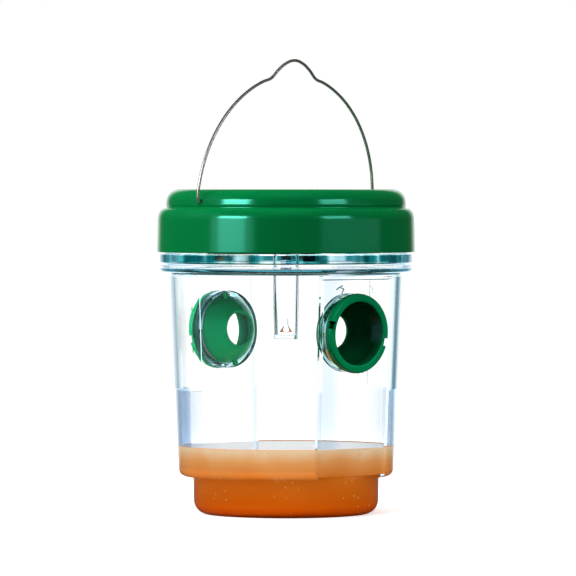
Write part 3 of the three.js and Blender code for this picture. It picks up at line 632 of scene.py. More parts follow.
def times(tree, *values):
    """The product of numbers or sockets."""
    total = values[0]
    for value in values[1:]:
        total = sums(tree, "MULTIPLY", total, value)
    return total


def along(tree, place, way):
    """How far a direction goes along a fixed one."""
    return put(tree, "VectorMath", {0: place, 1: way}, operation="DOT_PRODUCT").outputs["Value"]


def object_place(tree):
    """The socket that holds a point's place on its piece."""
    return put(tree, "TexCoord").outputs["Object"]


def axes(tree, place):
    """The sockets of a place's X, Y and Z."""
    return put(tree, "SeparateXYZ", {"Vector": place}).outputs


def facing_share(tree):
    """The socket that is 0 where a face looks at the viewer and 1 where it is seen edge on."""
    return put(tree, "LayerWeight", {"Blend": 0.5}).outputs["Facing"]


def noise(tree, place, scale, detail, **inputs):
    """The strength of a noise."""
    inputs = {"Vector": place, "Scale": scale, "Detail": detail, **inputs}
    return put(tree, "TexNoise", inputs).outputs["Fac"]


def stretched(tree, place, scale):
    """A place that is scaled along each axis."""
    return put(tree, "Mapping", {"Vector": place, "Scale": scale}).outputs[0]


def ramp(tree, value, low, high, start=0.0, end=1.0, kind="SMOOTHSTEP"):
    """A value that runs from start to end while another runs from low to high."""
    inputs = {"Value": value, "From Min": low, "From Max": high, "To Min": start, "To Max": end}
    return put(tree, "MapRange", inputs, interpolation_type=kind).outputs[0]


def between(tree, value, low, high, soft):
    """A mask that is 1 between two values and fades over a soft edge outside them."""
    return times(tree, ramp(tree, value, low - soft, low), ramp(tree, value, high, high + soft, 1.0, 0.0))


def number_mix(tree, factor, first, second):
    """A number between two, by a factor."""
    return put(tree, "Mix", {0: factor, 2: first, 3: second}, data_type="FLOAT").outputs[0]


def colour_mix(tree, factor, first, second):
    """A colour between two, by a factor."""
    ends = [end if isinstance(end, bpy.types.NodeSocket) else (*end, 1) for end in (first, second)]
    return put(tree, "Mix", {0: factor, 6: ends[0], 7: ends[1]}, data_type="RGBA").outputs[2]


def bounced(tree, paths, kind, bounces=0.5):
    """A mask of the light that came by more bounces of a kind than given."""
    return sums(tree, "GREATER_THAN", paths[f"{kind} Depth"], bounces)


def new_finish(name):
    """An empty node material, its nodes and its shader."""
    material = bpy.data.materials.new(name)
    material.use_nodes = True
    return material, material.node_tree, material.node_tree.nodes["Principled BSDF"]


def moulded_group():
    """The shared node group of moulded plastic: long ripples, fine grain, rubs and clouds."""
    name = "Moulded surface"
    if name in bpy.data.node_groups:
        return bpy.data.node_groups[name]
    group = bpy.data.node_groups.new(name, "ShaderNodeTree")
    for label, default in (("Ripple Scale", 45.0), ("Grain Scale", 2600.0), ("Grain Share", 0.15)):
        socket = group.interface.new_socket(label, in_out="INPUT", socket_type="NodeSocketFloat")
        socket.default_value = default
    for label in ("Height", "Rubs", "Clouds"):
        group.interface.new_socket(label, in_out="OUTPUT", socket_type="NodeSocketFloat")
    given = group.nodes.new("NodeGroupInput").outputs
    place = object_place(group)
    ripple = noise(group, place, given["Ripple Scale"], 1.5, Roughness=0.4)
    grain = noise(group, place, given["Grain Scale"], 2.0)
    height = sums(group, "ADD", ripple, times(group, grain, given["Grain Share"]))
    scratches = noise(group, stretched(group, place, (900.0, 900.0, 60.0)), 1.0, 3.0)
    clouds = noise(group, place, 70.0, 2.0)
    lines = ramp(group, scratches, 0.56, 0.72, kind="LINEAR")
    rubbed = ramp(group, clouds, 0.5, 0.75, kind="LINEAR")
    results = {"Height": height, "Rubs": times(group, lines, rubbed), "Clouds": clouds}
    feed(group, group.nodes.new("NodeGroupOutput"), results)
    return group


def use_surface(tree, shader, roughness, rub_share, bump, bump_distance, **inputs):
    """Puts the shared surface group into a material's roughness and normal."""
    surface = put(tree, "Group", node_tree=moulded_group())
    feed(tree, surface, {label.replace("_", " ").title(): value for label, value in inputs.items()})
    rough = sums(tree, "MULTIPLY_ADD", surface.outputs["Rubs"], rub_share, roughness)
    relief = {"Strength": bump, "Distance": bump_distance, "Height": surface.outputs["Height"]}
    feed(tree, shader, {"Roughness": rough, "Normal": put(tree, "Bump", relief).outputs[0]})
    return surface


def plastic(name, base, roughness=0.25, level=0.5, tint=(1, 1, 1), rub_share=0.25, bump=0.12, hollow_shade=None):
    """Solid moulded plastic, with painted shade in its hollows where a colour is given for it."""
    material, tree, shader = new_finish(name)
    surface = use_surface(tree, shader, roughness, rub_share, bump, 0.1 * MM)
    deep = [channel * 0.92 for channel in base]
    pale = [min(1.0, channel * 1.08) for channel in base]
    shade = colour_mix(tree, surface.outputs["Clouds"], deep, pale)
    if hollow_shade:
        # painted shade: darker where the piece's own walls close round a spot
        open_share = put(tree, "AmbientOcclusion", {"Distance": 40 * MM}, only_local=True).outputs["AO"]
        shade = colour_mix(tree, ramp(tree, open_share, 0.35, 0.85), hollow_shade, shade)
    feed(tree, shader, {"Base Color": shade, "Specular IOR Level": level, "Specular Tint": (*tint, 1)})
    return material


def dull_top(material, level):
    """Makes a moulded plastic satin above a level, as on the flat round the solar panel."""
    tree = material.node_tree
    shader = tree.nodes["Principled BSDF"]
    polished = shader.inputs["Roughness"].links[0].from_socket
    on_top = ramp(tree, axes(tree, object_place(tree))["Z"], level, level + 0.1 * MM)
    feed(tree, shader, {"Roughness": number_mix(tree, on_top, polished, 0.55)})


def clear(name, base, ior=1.45, density=0.0, shades=None):
    """Clear moulded plastic, teal in its depth where a density is given for it."""
    material, tree, shader = new_finish(name)
    relief = {"bump": 0.04, "bump_distance": 0.25 * MM, "ripple_scale": 28.0, "grain_share": 0.0}
    use_surface(tree, shader, roughness=0.015, rub_share=0.05, **relief)
    # painted glow: emission stands in for light that was mirrored many times in the plastic, so it ends pale
    # blue, not black
    many = bounced(tree, put(tree, "LightPath").outputs, "Glossy", 3.5)
    inputs = {
        "Base Color": shades(tree, base) if shades else (*base, 1),
        "Transmission Weight": 1.0,
        "IOR": ior,
        "Emission Color": colour_mix(tree, many, (0, 0, 0), (0.5, 0.68, 0.8)),
        "Emission Strength": 1.0,
    }
    feed(tree, shader, inputs)
    if density:
        depth = put(tree, "VolumeAbsorption", {"Color": (0.1, 0.55, 0.66, 1), "Density": density})
        feed(tree, tree.nodes["Material Output"], {"Volume": depth.outputs[0]})
    return material


def tube_painted_outline(tree, base):
    """Painted shade on the light tube: dark along its outline, standing in for refraction."""
    return colour_mix(tree, ramp(tree, facing_share(tree), 0.58, 0.84), base, (0.06, 0.17, 0.23))


def jar_painted_tints(jar, bait):
    """Painted shade, glints and refracted colour on the clear jar, each laid over the ones before it."""

    def shades(tree, base):
        x, y, level = axes(tree, object_place(tree))
        facing = facing_share(tree)
        angle = sums(tree, "ARCTAN2", y, x)
        beside, out = sums(tree, "ABSOLUTE", x), sums(tree, "ABSOLUTE", y)
        front = sums(tree, "LESS_THAN", y, -40 * MM)
        over_bait = ramp(tree, level, bait.top + 0.2 * MM, bait.top + 0.4 * MM)

        # painted teal shade and white glints round the flange, standing in for the lid seen through it and
        # for reflections
        streaks = noise(tree, stretched(tree, object_place(tree), (60.0, 60.0, 0.0)), 1.0, 2.0)
        flange = between(tree, level, jar.flange_bottom + 0.3 * MM, jar.flange_top - 0.5 * MM, 0.2 * MM)
        flange = times(tree, flange, ramp(tree, facing, 0.7, 0.88, 1.0, 0.3))
        lobes = sums(tree, "COSINE", sums(tree, "MULTIPLY_ADD", angle, FLASHES, FLASHES * FLASH_TURN))
        lobes = sums(tree, "MULTIPLY_ADD", streaks, 1.2, sums(tree, "ADD", lobes, -0.6))
        painted_glints = colour_mix(tree, ramp(tree, streaks, 0.36, 0.54), (0.01, 0.1, 0.1), (0.02, 0.3, 0.32))
        painted_glints = colour_mix(tree, ramp(tree, streaks, 0.53, 0.61), painted_glints, (0.75, 0.97, 1.0))
        painted_glints = colour_mix(tree, ramp(tree, lobes, 0.65, 1.05), painted_glints, (0.78, 0.97, 1.0))

        # painted shade on the bead and a thin line under it, on one half of the jar
        bead = between(tree, level, jar.bead_bottom + 0.4 * MM, jar.bead_bottom + 1.8 * MM, 0.2 * MM)
        under = between(tree, level, jar.bead_bottom - 1.0 * MM, jar.bead_bottom - 0.6 * MM, 0.2 * MM)
        half = ramp(tree, sums(tree, "COSINE", sums(tree, "ADD", angle, BEAD_SHADE_TURN)), -0.05, 0.05)
        bead = times(tree, sums(tree, "MAXIMUM", bead, under), half)

        # painted blue shade on the body under the grip pads where it is seen edge on, and on the front
        # panel's left side, standing in for refraction
        painted_low_body_shade = times(tree, over_bait, sums(tree, "LESS_THAN", level, jar.pad_bottom))
        painted_low_body_shade = times(tree, painted_low_body_shade, ramp(tree, facing, 0.12, 0.7))
        painted_low_body_shade = times(tree, painted_low_body_shade, ramp(tree, x, 0.0, 30 * MM, 1.0, 0.75))
        panel = times(tree, front, sums(tree, "GREATER_THAN", x, -jar.panel_half_width))
        panel = times(tree, panel, ramp(tree, x, -15 * MM, -3 * MM, 1.0, 0.0))
        panel = times(tree, panel, over_bait, ramp(tree, level, 55 * MM, 80 * MM, 1.0, 0.8))

        # painted dark line at the edge of a grip pad, and a painted pale blue reflection along the body's
        # outline up to the bead
        painted_pad_edge_line = between(tree, angle, math.radians(-72), math.radians(-42), math.radians(2))
        painted_pad_edge_line = times(tree, painted_pad_edge_line, between(tree, level, jar.pad_bottom, jar.pad_top, 0.3 * MM))
        painted_pad_edge_line = times(tree, painted_pad_edge_line, between(tree, facing, 0.7, 0.8, 0.04))
        outline = times(tree, over_bait, sums(tree, "LESS_THAN", level, jar.bead_bottom))
        outline = times(tree, outline, ramp(tree, facing, 0.84, 0.98))

        # painted dark line on the front panel's top edge, and painted teal on both collars behind their
        # panels, standing in for the green cups seen through them
        over = sums(tree, "SUBTRACT", level, jar.entry_level)
        painted_top_edge_line = between(tree, over, jar.panel_top - 0.5 * MM, jar.panel_top, 0.1 * MM)
        on_panel = sums(tree, "LESS_THAN", beside, jar.panel_half_width + 2 * MM)
        painted_top_edge_line = times(tree, painted_top_edge_line, on_panel, front)
        out = times(tree, sums(tree, "SUBTRACT", out, jar.panel_distance), math.cos(jar.lean))
        out = sums(tree, "MULTIPLY_ADD", over, -math.sin(jar.lean), out)
        spread = sums(tree, "SQRT", sums(tree, "MULTIPLY_ADD", x, x, times(tree, over, over)))
        collar = between(tree, spread, jar.collar_bore - 0.7 * MM, jar.collar_radius + 0.1 * MM, 0.1 * MM)
        collar = times(tree, collar, sums(tree, "LESS_THAN", out, -jar.wall - 0.1 * MM))

        # painted shade on the raised arrows, the right one paler
        raised = sums(tree, "GREATER_THAN", out, 0.1 * MM)
        arrows = times(tree, raised, between(tree, over, 19.9 * MM, 26.3 * MM, 0.1 * MM))
        arrows = times(tree, arrows, sums(tree, "LESS_THAN", beside, 16 * MM))
        arrows = times(tree, arrows, ramp(tree, x, -2 * MM, 2 * MM, 1.0, 0.3))

        shade = base
        for mask, tint in (
            (flange, painted_glints),
            (bead, (0.01, 0.09, 0.11)),
            (painted_low_body_shade, (0.38, 0.49, 0.67)),
            (panel, (0.7, 0.79, 0.89)),
            (painted_pad_edge_line, (0.1, 0.24, 0.3)),
            (outline, (0.55, 0.72, 0.8)),
            (ramp(tree, level, 3.5 * MM, 6.5 * MM, 1.0, 0.0), (1.0, 0.8, 0.3)),  # painted: the bait's orange laid on the foot's clear wall, over the floor's shadow seen through it
            (painted_top_edge_line, (0.06, 0.13, 0.16)),
            (collar, (0.4, 0.7, 0.68)),
            (arrows, (0.02, 0.05, 0.06)),
        ):
            shade = colour_mix(tree, mask, shade, tint)
        return shade

    return shades


def metal(name, base, roughness=0.28, bump=0.1):
    """Drawn or plated metal with fine streaks."""
    material, tree, shader = new_finish(name)
    relief = {"bump": bump, "bump_distance": 0.01 * MM, "ripple_scale": 300.0, "grain_share": 0.2}
    use_surface(tree, shader, roughness, rub_share=0.2, **relief)
    feed(tree, shader, {"Base Color": (*base, 1), "Metallic": 1.0})
    return material


def bait_material(finish, bait):
    """Syrup that is pale at its surface and deep orange below, with small bubbles."""
    material, tree, shader = new_finish("bait")
    place = object_place(tree)
    level = axes(tree, place)["Z"]
    swirl = sums(tree, "MULTIPLY_ADD", noise(tree, place, 32.0, 3.0, Distortion=0.6), 9 * MM, -4.5 * MM)
    depth = ramp(tree, sums(tree, "ADD", level, swirl), 0.0, bait.top, kind="LINEAR")
    shades = put(tree, "ValToRGB", {"Fac": depth})
    stops = shades.color_ramp.elements
    stops[0].position, stops[0].color = 0.2, (*finish.bait_bottom, 1)
    stops[1].position, stops[1].color = 1.0, (*finish.bait_top, 1)
    for position, shade in ((0.57, finish.bait_middle), (0.83, finish.bait_upper)):
        stops.new(position).color = (*shade, 1)
    cells = put(tree, "TexVoronoi", {"Vector": place, "Scale": 260.0}).outputs["Distance"]
    bubbles = ramp(tree, cells, 0.1, 0.17, 1.0, 0.0, kind="LINEAR")
    some = ramp(tree, noise(tree, place, 55.0, 1.0), 0.46, 0.58, kind="LINEAR")
    shade = colour_mix(tree, times(tree, bubbles, some, 0.7), shades.outputs["Color"], finish.bait_upper)
    # painted reflection: the flat top is laid pale as if it mirrored the studio from low down, with a
    # painted orange glow from higher up
    face = sums(tree, "GREATER_THAN", level, bait.top - 0.05 * MM)
    painted_reflection_share = ramp(tree, facing_share(tree), 0.82, 0.95)
    shade = colour_mix(tree, face, shade, colour_mix(tree, painted_reflection_share, finish.bait_upper, (0.93, 0.94, 0.98)))
    # painted glow on the flat top where it is seen from higher up
    glow = times(tree, face, sums(tree, "SUBTRACT", 1.0, painted_reflection_share))
    relief = {"bump": 0.1, "bump_distance": 0.3 * MM, "ripple_scale": 60.0, "grain_share": 0.05}
    use_surface(tree, shader, roughness=0.35, rub_share=0.1, **relief)
    inputs = {
        "Base Color": shade,
        "Emission Color": colour_mix(tree, glow, (0, 0, 0), finish.bait_middle),
        "Emission Strength": 0.45,
        "Coat Weight": between(tree, level, bait.top - 0.05 * MM, bait.top + 0.05 * MM, 0.1 * MM),
        "Coat Roughness": 0.02,
        "Specular IOR Level": 0.0,
    }
    feed(tree, shader, inputs)
    return material


def cell_material(finish, lid):
    """Dark solar cells with silver fingers, two bars and pale gaps between the cells."""
    material, tree, shader = new_finish("solar cells")
    rotation = {"Vector": object_place(tree), "Rotation": (0, 0, -lid.turn_at_rest)}
    place = put(tree, "Mapping", rotation).outputs[0]
    x, y, _ = axes(tree, place)

    def lines(across, pitch, width):
        part = sums(tree, "FRACT", sums(tree, "MULTIPLY_ADD", across, 1 / pitch, 0.5))
        away = sums(tree, "ABSOLUTE", sums(tree, "SUBTRACT", part, 0.5))
        return sums(tree, "LESS_THAN", away, width / pitch / 2)

    fingers = lines(y, pitch=1.6 * MM, width=0.18 * MM)
    bars = lines(x, pitch=15.1 * MM, width=1.3 * MM)
    gaps = lines(y, pitch=10.1 * MM, width=0.7 * MM)
    grain = put(tree, "TexVoronoi", {"Vector": place, "Scale": 160.0}).outputs["Distance"]
    shade = colour_mix(tree, grain, finish.cell_blue, [channel * 1.9 for channel in finish.cell_blue])
    shade = colour_mix(tree, sums(tree, "MAXIMUM", fingers, bars), shade, finish.cell_silver)
    shade = colour_mix(tree, gaps, shade, (0.55, 0.57, 0.6))
    feed(tree, shader, {"Base Color": shade})
    use_surface(tree, shader, roughness=0.3, rub_share=0.1, bump=0.05, bump_distance=0.05 * MM)
    return material


def floor_material(base, toward):
    """A pale floor that keeps the shadow and is white to the camera where nothing shades it."""
    material, tree, shader = new_finish("floor")
    paths = put(tree, "LightPath").outputs
    mirrored, scattered = bounced(tree, paths, "Glossy"), bounced(tree, paths, "Diffuse")
    indoors = bounced(tree, paths, "Transmission")
    indirect = sums(tree, "MAXIMUM", mirrored, scattered)
    unseen = sums(tree, "MAXIMUM", mirrored, sums(tree, "SUBTRACT", scattered, indoors))
    only_mirrored = sums(tree, "GREATER_THAN", mirrored, scattered)
    place = object_place(tree)
    away = put(tree, "VectorMath", {0: place}, operation="LENGTH").outputs["Value"]
    far, clear_of_trap = ramp(tree, away, 0.2, 1.1), ramp(tree, away, 0.1, 0.5)
    near_base = colour_mix(tree, unseen, base, [channel * 0.1 for channel in base])
    far_base = colour_mix(tree, indirect, (0.2, 0.2, 0.2), (0, 0, 0))
    glow = colour_mix(tree, far, (0.62, 0.62, 0.62), (1, 1, 1))
    # what the gloss of the trap mirrors: the floor behind it, and teal edges through clear plastic
    outward = put(tree, "VectorMath", {0: place}, operation="NORMALIZE").outputs[0]
    behind = ramp(tree, along(tree, outward, (-toward[0], -toward[1], 0.0)), 0.8, 0.96)
    shine = colour_mix(tree, times(tree, only_mirrored, behind, clear_of_trap), (0, 0, 0), glow)
    few = sums(tree, "LESS_THAN", paths["Transmission Depth"], 3.5)
    edge = times(tree, only_mirrored, indoors, few, clear_of_trap)
    shine = colour_mix(tree, edge, shine, (0.42, 0.58, 0.68))
    inputs = {
        "Base Color": colour_mix(tree, far, near_base, far_base),
        "Emission Color": colour_mix(tree, indirect, glow, shine),
        "Emission Strength": 1.0,
        "Roughness": 0.9,
        "Specular IOR Level": 0.0,
    }
    feed(tree, shader, inputs)
    return material


# Operators


class TRAP_OT_stage(bpy.types.Operator):
    """Adds the camera, the floor, the world and the lamps"""

    bl_idname = "trap.stage"
    bl_label = "Stage"

    def execute(self, context):
        scene = context.scene
        stage, middle = scene.trap_stage, scene.trap_lid.skirt_bottom
        scene.view_settings.view_transform = "Standard"
        across, ahead = math.sin(stage.camera_turn), math.cos(stage.camera_turn)
        toward = (across, -ahead)
        spot = (across * stage.camera_distance, -ahead * stage.camera_distance, stage.camera_height)
        settle()
        bpy.ops.object.camera_add(location=spot)
        camera = scene.camera = context.object
        aim = (ahead * stage.aim_side, across * stage.aim_side, stage.aim_level)
        camera.rotation_euler = aimed(spot, aim)
        camera.data.lens = stage.lens
        camera.data.clip_start, camera.data.clip_end = 0.05, 60.0
        settle()
        bpy.ops.mesh.primitive_plane_add(size=24, location=(0, 0, -0.05 * MM))
        floor = added("floor")
        floor.data.materials.append(floor_material(scene.trap_finish.floor, toward))
        self.light_world(scene, stage, toward)
        # turn from the camera, rise, width, height, power, and whether it is for gloss or for shade
        lamps = (
            ("gloss_left_high", -49.0, 17.0, 0.70, 0.37, 11.0, True),
            ("gloss_left_low", -49.0, 3.8, 0.68, 0.172, 1.5, True),
            ("gloss_left_wide", -49.0, 3.8, 1.12, 0.172, 0.8, True),
            ("gloss_right_high", 46.0, 17.0, 0.68, 0.37, 3.5, True),
            ("gloss_right_low", 61.0, 3.8, 1.73, 0.172, 0.42, True),
            ("soft_left", -85.0, 25.0, 1.0, 1.0, 23.0, False),
            ("soft_front", 0.0, 60.0, 1.0, 1.0, 11.0, False),
            ("soft_right", 62.0, 15.0, 1.0, 0.8, 4.5, False),
            ("soft_top", 10.0, 84.0, 1.0, 1.0, 4.0, False),
        )
        for name, side, rise, width, height, power, for_gloss in lamps:
            angle, rise = stage.camera_turn + math.radians(side), math.radians(rise)
            reach = math.cos(rise) * stage.lamp_distance
            level = middle + math.sin(rise) * stage.lamp_distance
            spot = (math.sin(angle) * reach, -math.cos(angle) * reach, level)
            settle()
            bpy.ops.object.light_add(type="AREA", location=spot)
            lamp = added(name)
            lamp.data.shape = "RECTANGLE"
            lamp.data.size, lamp.data.size_y = width, height
            lamp.data.energy = power
            lamp.visible_glossy = for_gloss
            lamp.visible_diffuse = not for_gloss
            lamp.visible_camera = lamp.visible_transmission = False
            lamp.rotation_euler = aimed(spot, (0, 0, middle))
        return {"FINISHED"}

    def light_world(self, scene, stage, toward):
        """White for what is seen directly or through clear plastic, softer for light and gloss."""
        world = scene.world = bpy.data.worlds.new("studio")
        world.use_nodes = True
        tree = world.node_tree
        way = put(tree, "TexCoord").outputs["Generated"]
        behind = along(tree, way, (-toward[0], -toward[1], 0.0))
        gloss = ramp(tree, behind, 0.86, 0.985, stage.dark_gloss, 1.0)
        steep = ramp(tree, sums(tree, "ABSOLUTE", axes(tree, way)["Z"]), 0.2, 0.6, kind="LINEAR")
        # gloss inside clear plastic mirrors blue from the side and dark teal from above
        edge = colour_mix(tree, steep, (0.5, 0.66, 0.78), (0.02, 0.12, 0.14))
        edge = colour_mix(tree, gloss, edge, (1, 1, 1))
        # what the jar holds is lit from over the camera's left
        lit = (toward[0] * 0.45 + toward[1] * 0.7, toward[1] * 0.45 - toward[0] * 0.7, 0.55)
        lit_side = along(tree, way, lit)
        inside_glow = ramp(tree, lit_side, -0.8, 0.8, stage.inside_shade, stage.inside_light, kind="LINEAR")
        paths = put(tree, "LightPath").outputs
        indoors = bounced(tree, paths, "Transmission")
        soft = number_mix(tree, indoors, stage.world_light, inside_glow)
        shine = colour_mix(tree, indoors, gloss, edge)
        seen = colour_mix(tree, bounced(tree, paths, "Glossy"), (1, 1, 1), shine)
        light = colour_mix(tree, bounced(tree, paths, "Diffuse"), seen, soft)
        feed(tree, tree.nodes["Background"], {"Color": light, "Strength": 1.0})


class TRAP_OT_jar(bpy.types.Operator):
    """Models the clear jar with its foot, panels, collars, grip pads, bead, flange and neck"""

    bl_idname = "trap.jar"
    bl_label = "Jar"

    def execute(self, context):
        scene = context.scene
        jar, entry, lid, small = scene.trap_jar, scene.trap_entry, scene.trap_lid, scene.trap_jar.edge_round
        corners = [
            (0, 0),
            (jar.foot_radius - jar.foot_draft, 0, jar.foot_round),
            (jar.foot_radius, jar.foot_height, small),
            (jar.shoulder_radius, jar.foot_height, jar.shoulder_round),
            (jar.body_radius, jar.bead_bottom, 2 * small),
            (jar.bead_radius, jar.bead_bottom, jar.bead_round),
            (jar.bead_radius, jar.bead_top, small),
            (jar.groove_radius, jar.bead_top, small),
            (jar.groove_radius, jar.flange_bottom, small),
            (jar.flange_radius, jar.flange_bottom, small),
            (jar.flange_radius, jar.flange_top, small),
            (jar.neck_radius, jar.flange_top, small),
            (jar.neck_radius, jar.neck_top, small),
            (0, jar.neck_top),
        ]
        body = turned("jar", rounded(corners), jar.sides)
        body = combined(body, copies(self.pad(jar), (0, HALF_TURN)), "UNION")
        body = combined(body, panel_space(jar, 0.0), "DIFFERENCE")
        body = combined(body, inside(jar, jar.wall, jar.neck_top + MM), "DIFFERENCE")
        outline = band(jar.neck_radius - MM, jar.lug_radius, jar.lug_bottom, jar.lug_bottom + jar.lug_height)
        lug = sector("lug", outline, 10, jar.lug_arc, lid.turn_at_rest + QUARTER_TURN / 2)
        lugs = [copies(lug, QUARTERS), *on_panels(self.collar(jar), jar)]
        body = combined(body, joined(lugs), "UNION")
        body = combined(body, joined(on_panels(self.hole(jar, entry), jar)), "DIFFERENCE")
        arrows = copies(self.arrow(jar), (QUARTER_TURN + jar.arrow_turn, QUARTER_TURN - jar.arrow_turn))
        body = combined(body, at_panel(arrows, jar), "UNION")
        shades = jar_painted_tints(jar, scene.trap_bait)
        tint = scene.trap_finish.clear_tint
        material = clear("clear jar", tint, ior=1.33, density=2.5, shades=shades)
        finished(body, "clear_jar", "jar_body", material, "jar")
        return {"FINISHED"}

    def pad(self, jar):
        """A grip pad, a little proud of the body."""
        low, high, rise = jar.pad_bottom, jar.pad_top, jar.pad_rise
        under, over = (
            jar.shoulder_radius + (level - jar.foot_height) * math.tan(jar.lean) for level in (low, high)
        )
        points = [
            (under - MM, low),
            (under, low),
            (under + rise, low + rise / 2),
            (over + rise, high - rise / 2),
            (over, high),
            (over - MM, high),
        ]
        steps = round(jar.sides * jar.pad_arc / FULL_TURN)
        return sector("pad", points, steps, jar.pad_arc, -jar.pad_arc / 2)

    def collar(self, jar):
        """The collar behind a panel, round an entry's cup, with fine teeth on its end."""
        inner, outer, end = jar.collar_bore - 0.35 * MM, jar.collar_radius, -jar.collar_end
        ring = turned("collar", band(inner, outer, end, -jar.wall / 2), 96, closed=True)
        tooth = peg("tooth", jar.tooth_radius, end - jar.tooth_reach, end + MM, sides=10)
        turns = [jar.tooth_start + jar.tooth_pitch * index for index in range(jar.teeth)]
        return combined(ring, copies(tooth, turns, (inner + outer) / 2), "UNION")

    def hole(self, jar, entry):
        """What is cut for an entry: its cup, two slots for its lugs and a notch below."""
        low, high = -jar.collar_end - 2 * MM, 2 * MM
        hole = peg("hole", jar.collar_bore, low, high, sides=96)
        outline = band(entry.mouth_radius, jar.slot_radius, low, high - 0.5 * MM)
        slot = sector("slot", outline, 8, jar.slot_arc, QUARTER_TURN + jar.slot_arc / 2)
        hole = combined(hole, copies(slot, (0, HALF_TURN)), "UNION")
        half, skin = jar.notch_width / 2, jar.wall + 0.3 * MM
        lows, highs = (-half, -jar.notch_bottom, -jar.notch_end), (half, -jar.notch_top, -skin)
        notch = block("notch", lows, highs)
        mark(notch, lambda place: place.z > (lows[2] + highs[2]) / 2)
        middle = (0, (lows[1] + highs[1]) / 2, highs[2])
        bpy.ops.transform.resize(value=(0.02, 1, 1), center_override=middle)
        bpy.ops.object.mode_set(mode="OBJECT")
        return combined(hole, notch, "UNION")

    def arrow(self, jar):
        """A small curved arrow, its middle on X, that stands out of the panel over an entry's ring."""
        radius, half = jar.arrow_radius, jar.arrow_width / 2
        shaft = sector("arrow", band(radius - half, radius + half, -half, half), 8, jar.arrow_arc)
        bar, wing, rise = 0.45 * MM, 2.2 * MM, half + 0.05 * MM
        head = block("head", (-bar, -wing, -rise), (bar, wing, rise))
        mark(head, lambda place: True)
        bpy.ops.mesh.subdivide(number_cuts=1)
        mark(head, lambda place: abs(place.y) > wing / 2)
        bpy.ops.transform.translate(value=(-2.6 * MM, 0, 0))
        bpy.ops.object.mode_set(mode="OBJECT")
        tip, low = -jar.arrow_arc / 2, radius - 1.9 * MM
        head = placed(head, turns=(0, 0, tip - QUARTER_TURN))
        head = placed(head, place=(low * math.cos(tip), low * math.sin(tip), 0))
        return combined(shaft, head, "UNION")


class TRAP_OT_bait(bpy.types.Operator):
    """Models the bait that fills the foot and the bottom of the body"""

    bl_idname = "trap.bait"
    bl_label = "Bait"

    def execute(self, context):
        jar, bait, finish = context.scene.trap_jar, context.scene.trap_bait, context.scene.trap_finish
        syrup = inside(jar, jar.wall - bait.contact, bait.top, bait.rise)
        material = bait_material(finish, bait)
        finished(syrup, "bait", "jar_body", material, "bait_syrup", smooth_degrees=40)
        return {"FINISHED"}


class TRAP_OT_entries(bpy.types.Operator):
    """Models one funnel entry and puts a copy in each panel"""

    bl_idname = "trap.entries"
    bl_label = "Entries"

    def execute(self, context):
        jar, entry, finish = context.scene.trap_jar, context.scene.trap_entry, context.scene.trap_finish
        tint, hollow_shade = (0.3, 1, 0.9), finish.hollow_shade_green
        material = plastic("entry green", finish.entry_green, 0.22, level=0.25, tint=tint, hollow_shade=hollow_shade)
        for piece, side in zip(on_panels(self.model(entry), jar), ("front", "back")):
            name, body, node = f"funnel_{side}", f"{side}_entry_body", f"entry_{side}"
            finished(piece, name, body, material, node, smooth_degrees=35)
        return {"FINISHED"}

    def model(self, entry):
        """The entry in its own frame, its Z out of the panel."""
        end, straight = -entry.cup_depth, -entry.straight_end
        inner_end, lip = end + entry.wall, entry.exit_radius + entry.exit_lip

        def dome(radius, low_radius, bottom):
            steps, bulge = 12, 1.7
            for step in range(1, steps):
                part = math.sin(QUARTER_TURN * step / steps)
                across = low_radius + (radius - low_radius) * (1 - part**bulge)
                yield across, straight + (bottom - straight) * part

        corners = [
            (entry.exit_radius, end, 0.3 * MM),
            (lip, end),
            *reversed(list(dome(entry.cup_radius, lip, end))),
            (entry.cup_radius, straight),
            (entry.cup_radius, entry.ring_seat),
            (entry.ring_radius, entry.ring_seat, 0.3 * MM),
            (entry.ring_radius, entry.ring_front, entry.ring_round),
            (entry.mouth_radius, entry.ring_front, 0.7 * MM),
            (entry.mouth_radius, straight),
            *dome(entry.mouth_radius, entry.exit_radius, inner_end),
            (entry.exit_radius, inner_end, 0.3 * MM),
        ]
        cup = turned("entry", rounded(corners, closed=True, steps=4), entry.sides, closed=True)
        outline = band(entry.mouth_radius - MM, entry.lug_radius, entry.lug_bottom, entry.lug_top)
        lug = sector("lug", outline, 4, entry.lug_arc, entry.lug_turn)
        radius, reach = entry.tooth_radius, entry.ring_radius - entry.tooth_radius + 0.2 * MM
        tooth = peg("tooth", radius, entry.ring_seat + 0.1 * MM, entry.ring_front - 0.9 * MM, sides=16)
        three = [QUARTER_TURN + entry.tooth_turn + entry.tooth_pitch * index for index in (-1, 0, 1)]
        teeth = copies(tooth, [*three, *(-angle for angle in three)], reach)
        cup = combined(cup, joined([copies(lug, (0, HALF_TURN)), teeth]), "UNION")
        lows = (entry.notch_start, -entry.notch_width / 2, entry.ring_front - entry.notch_depth)
        highs = (entry.ring_radius + 3 * MM, entry.notch_width / 2, entry.ring_front + 2 * MM)
        notches = copies(block("notch", lows, highs), (entry.notch_turn, entry.notch_turn + HALF_TURN))
        return combined(cup, notches, "DIFFERENCE")


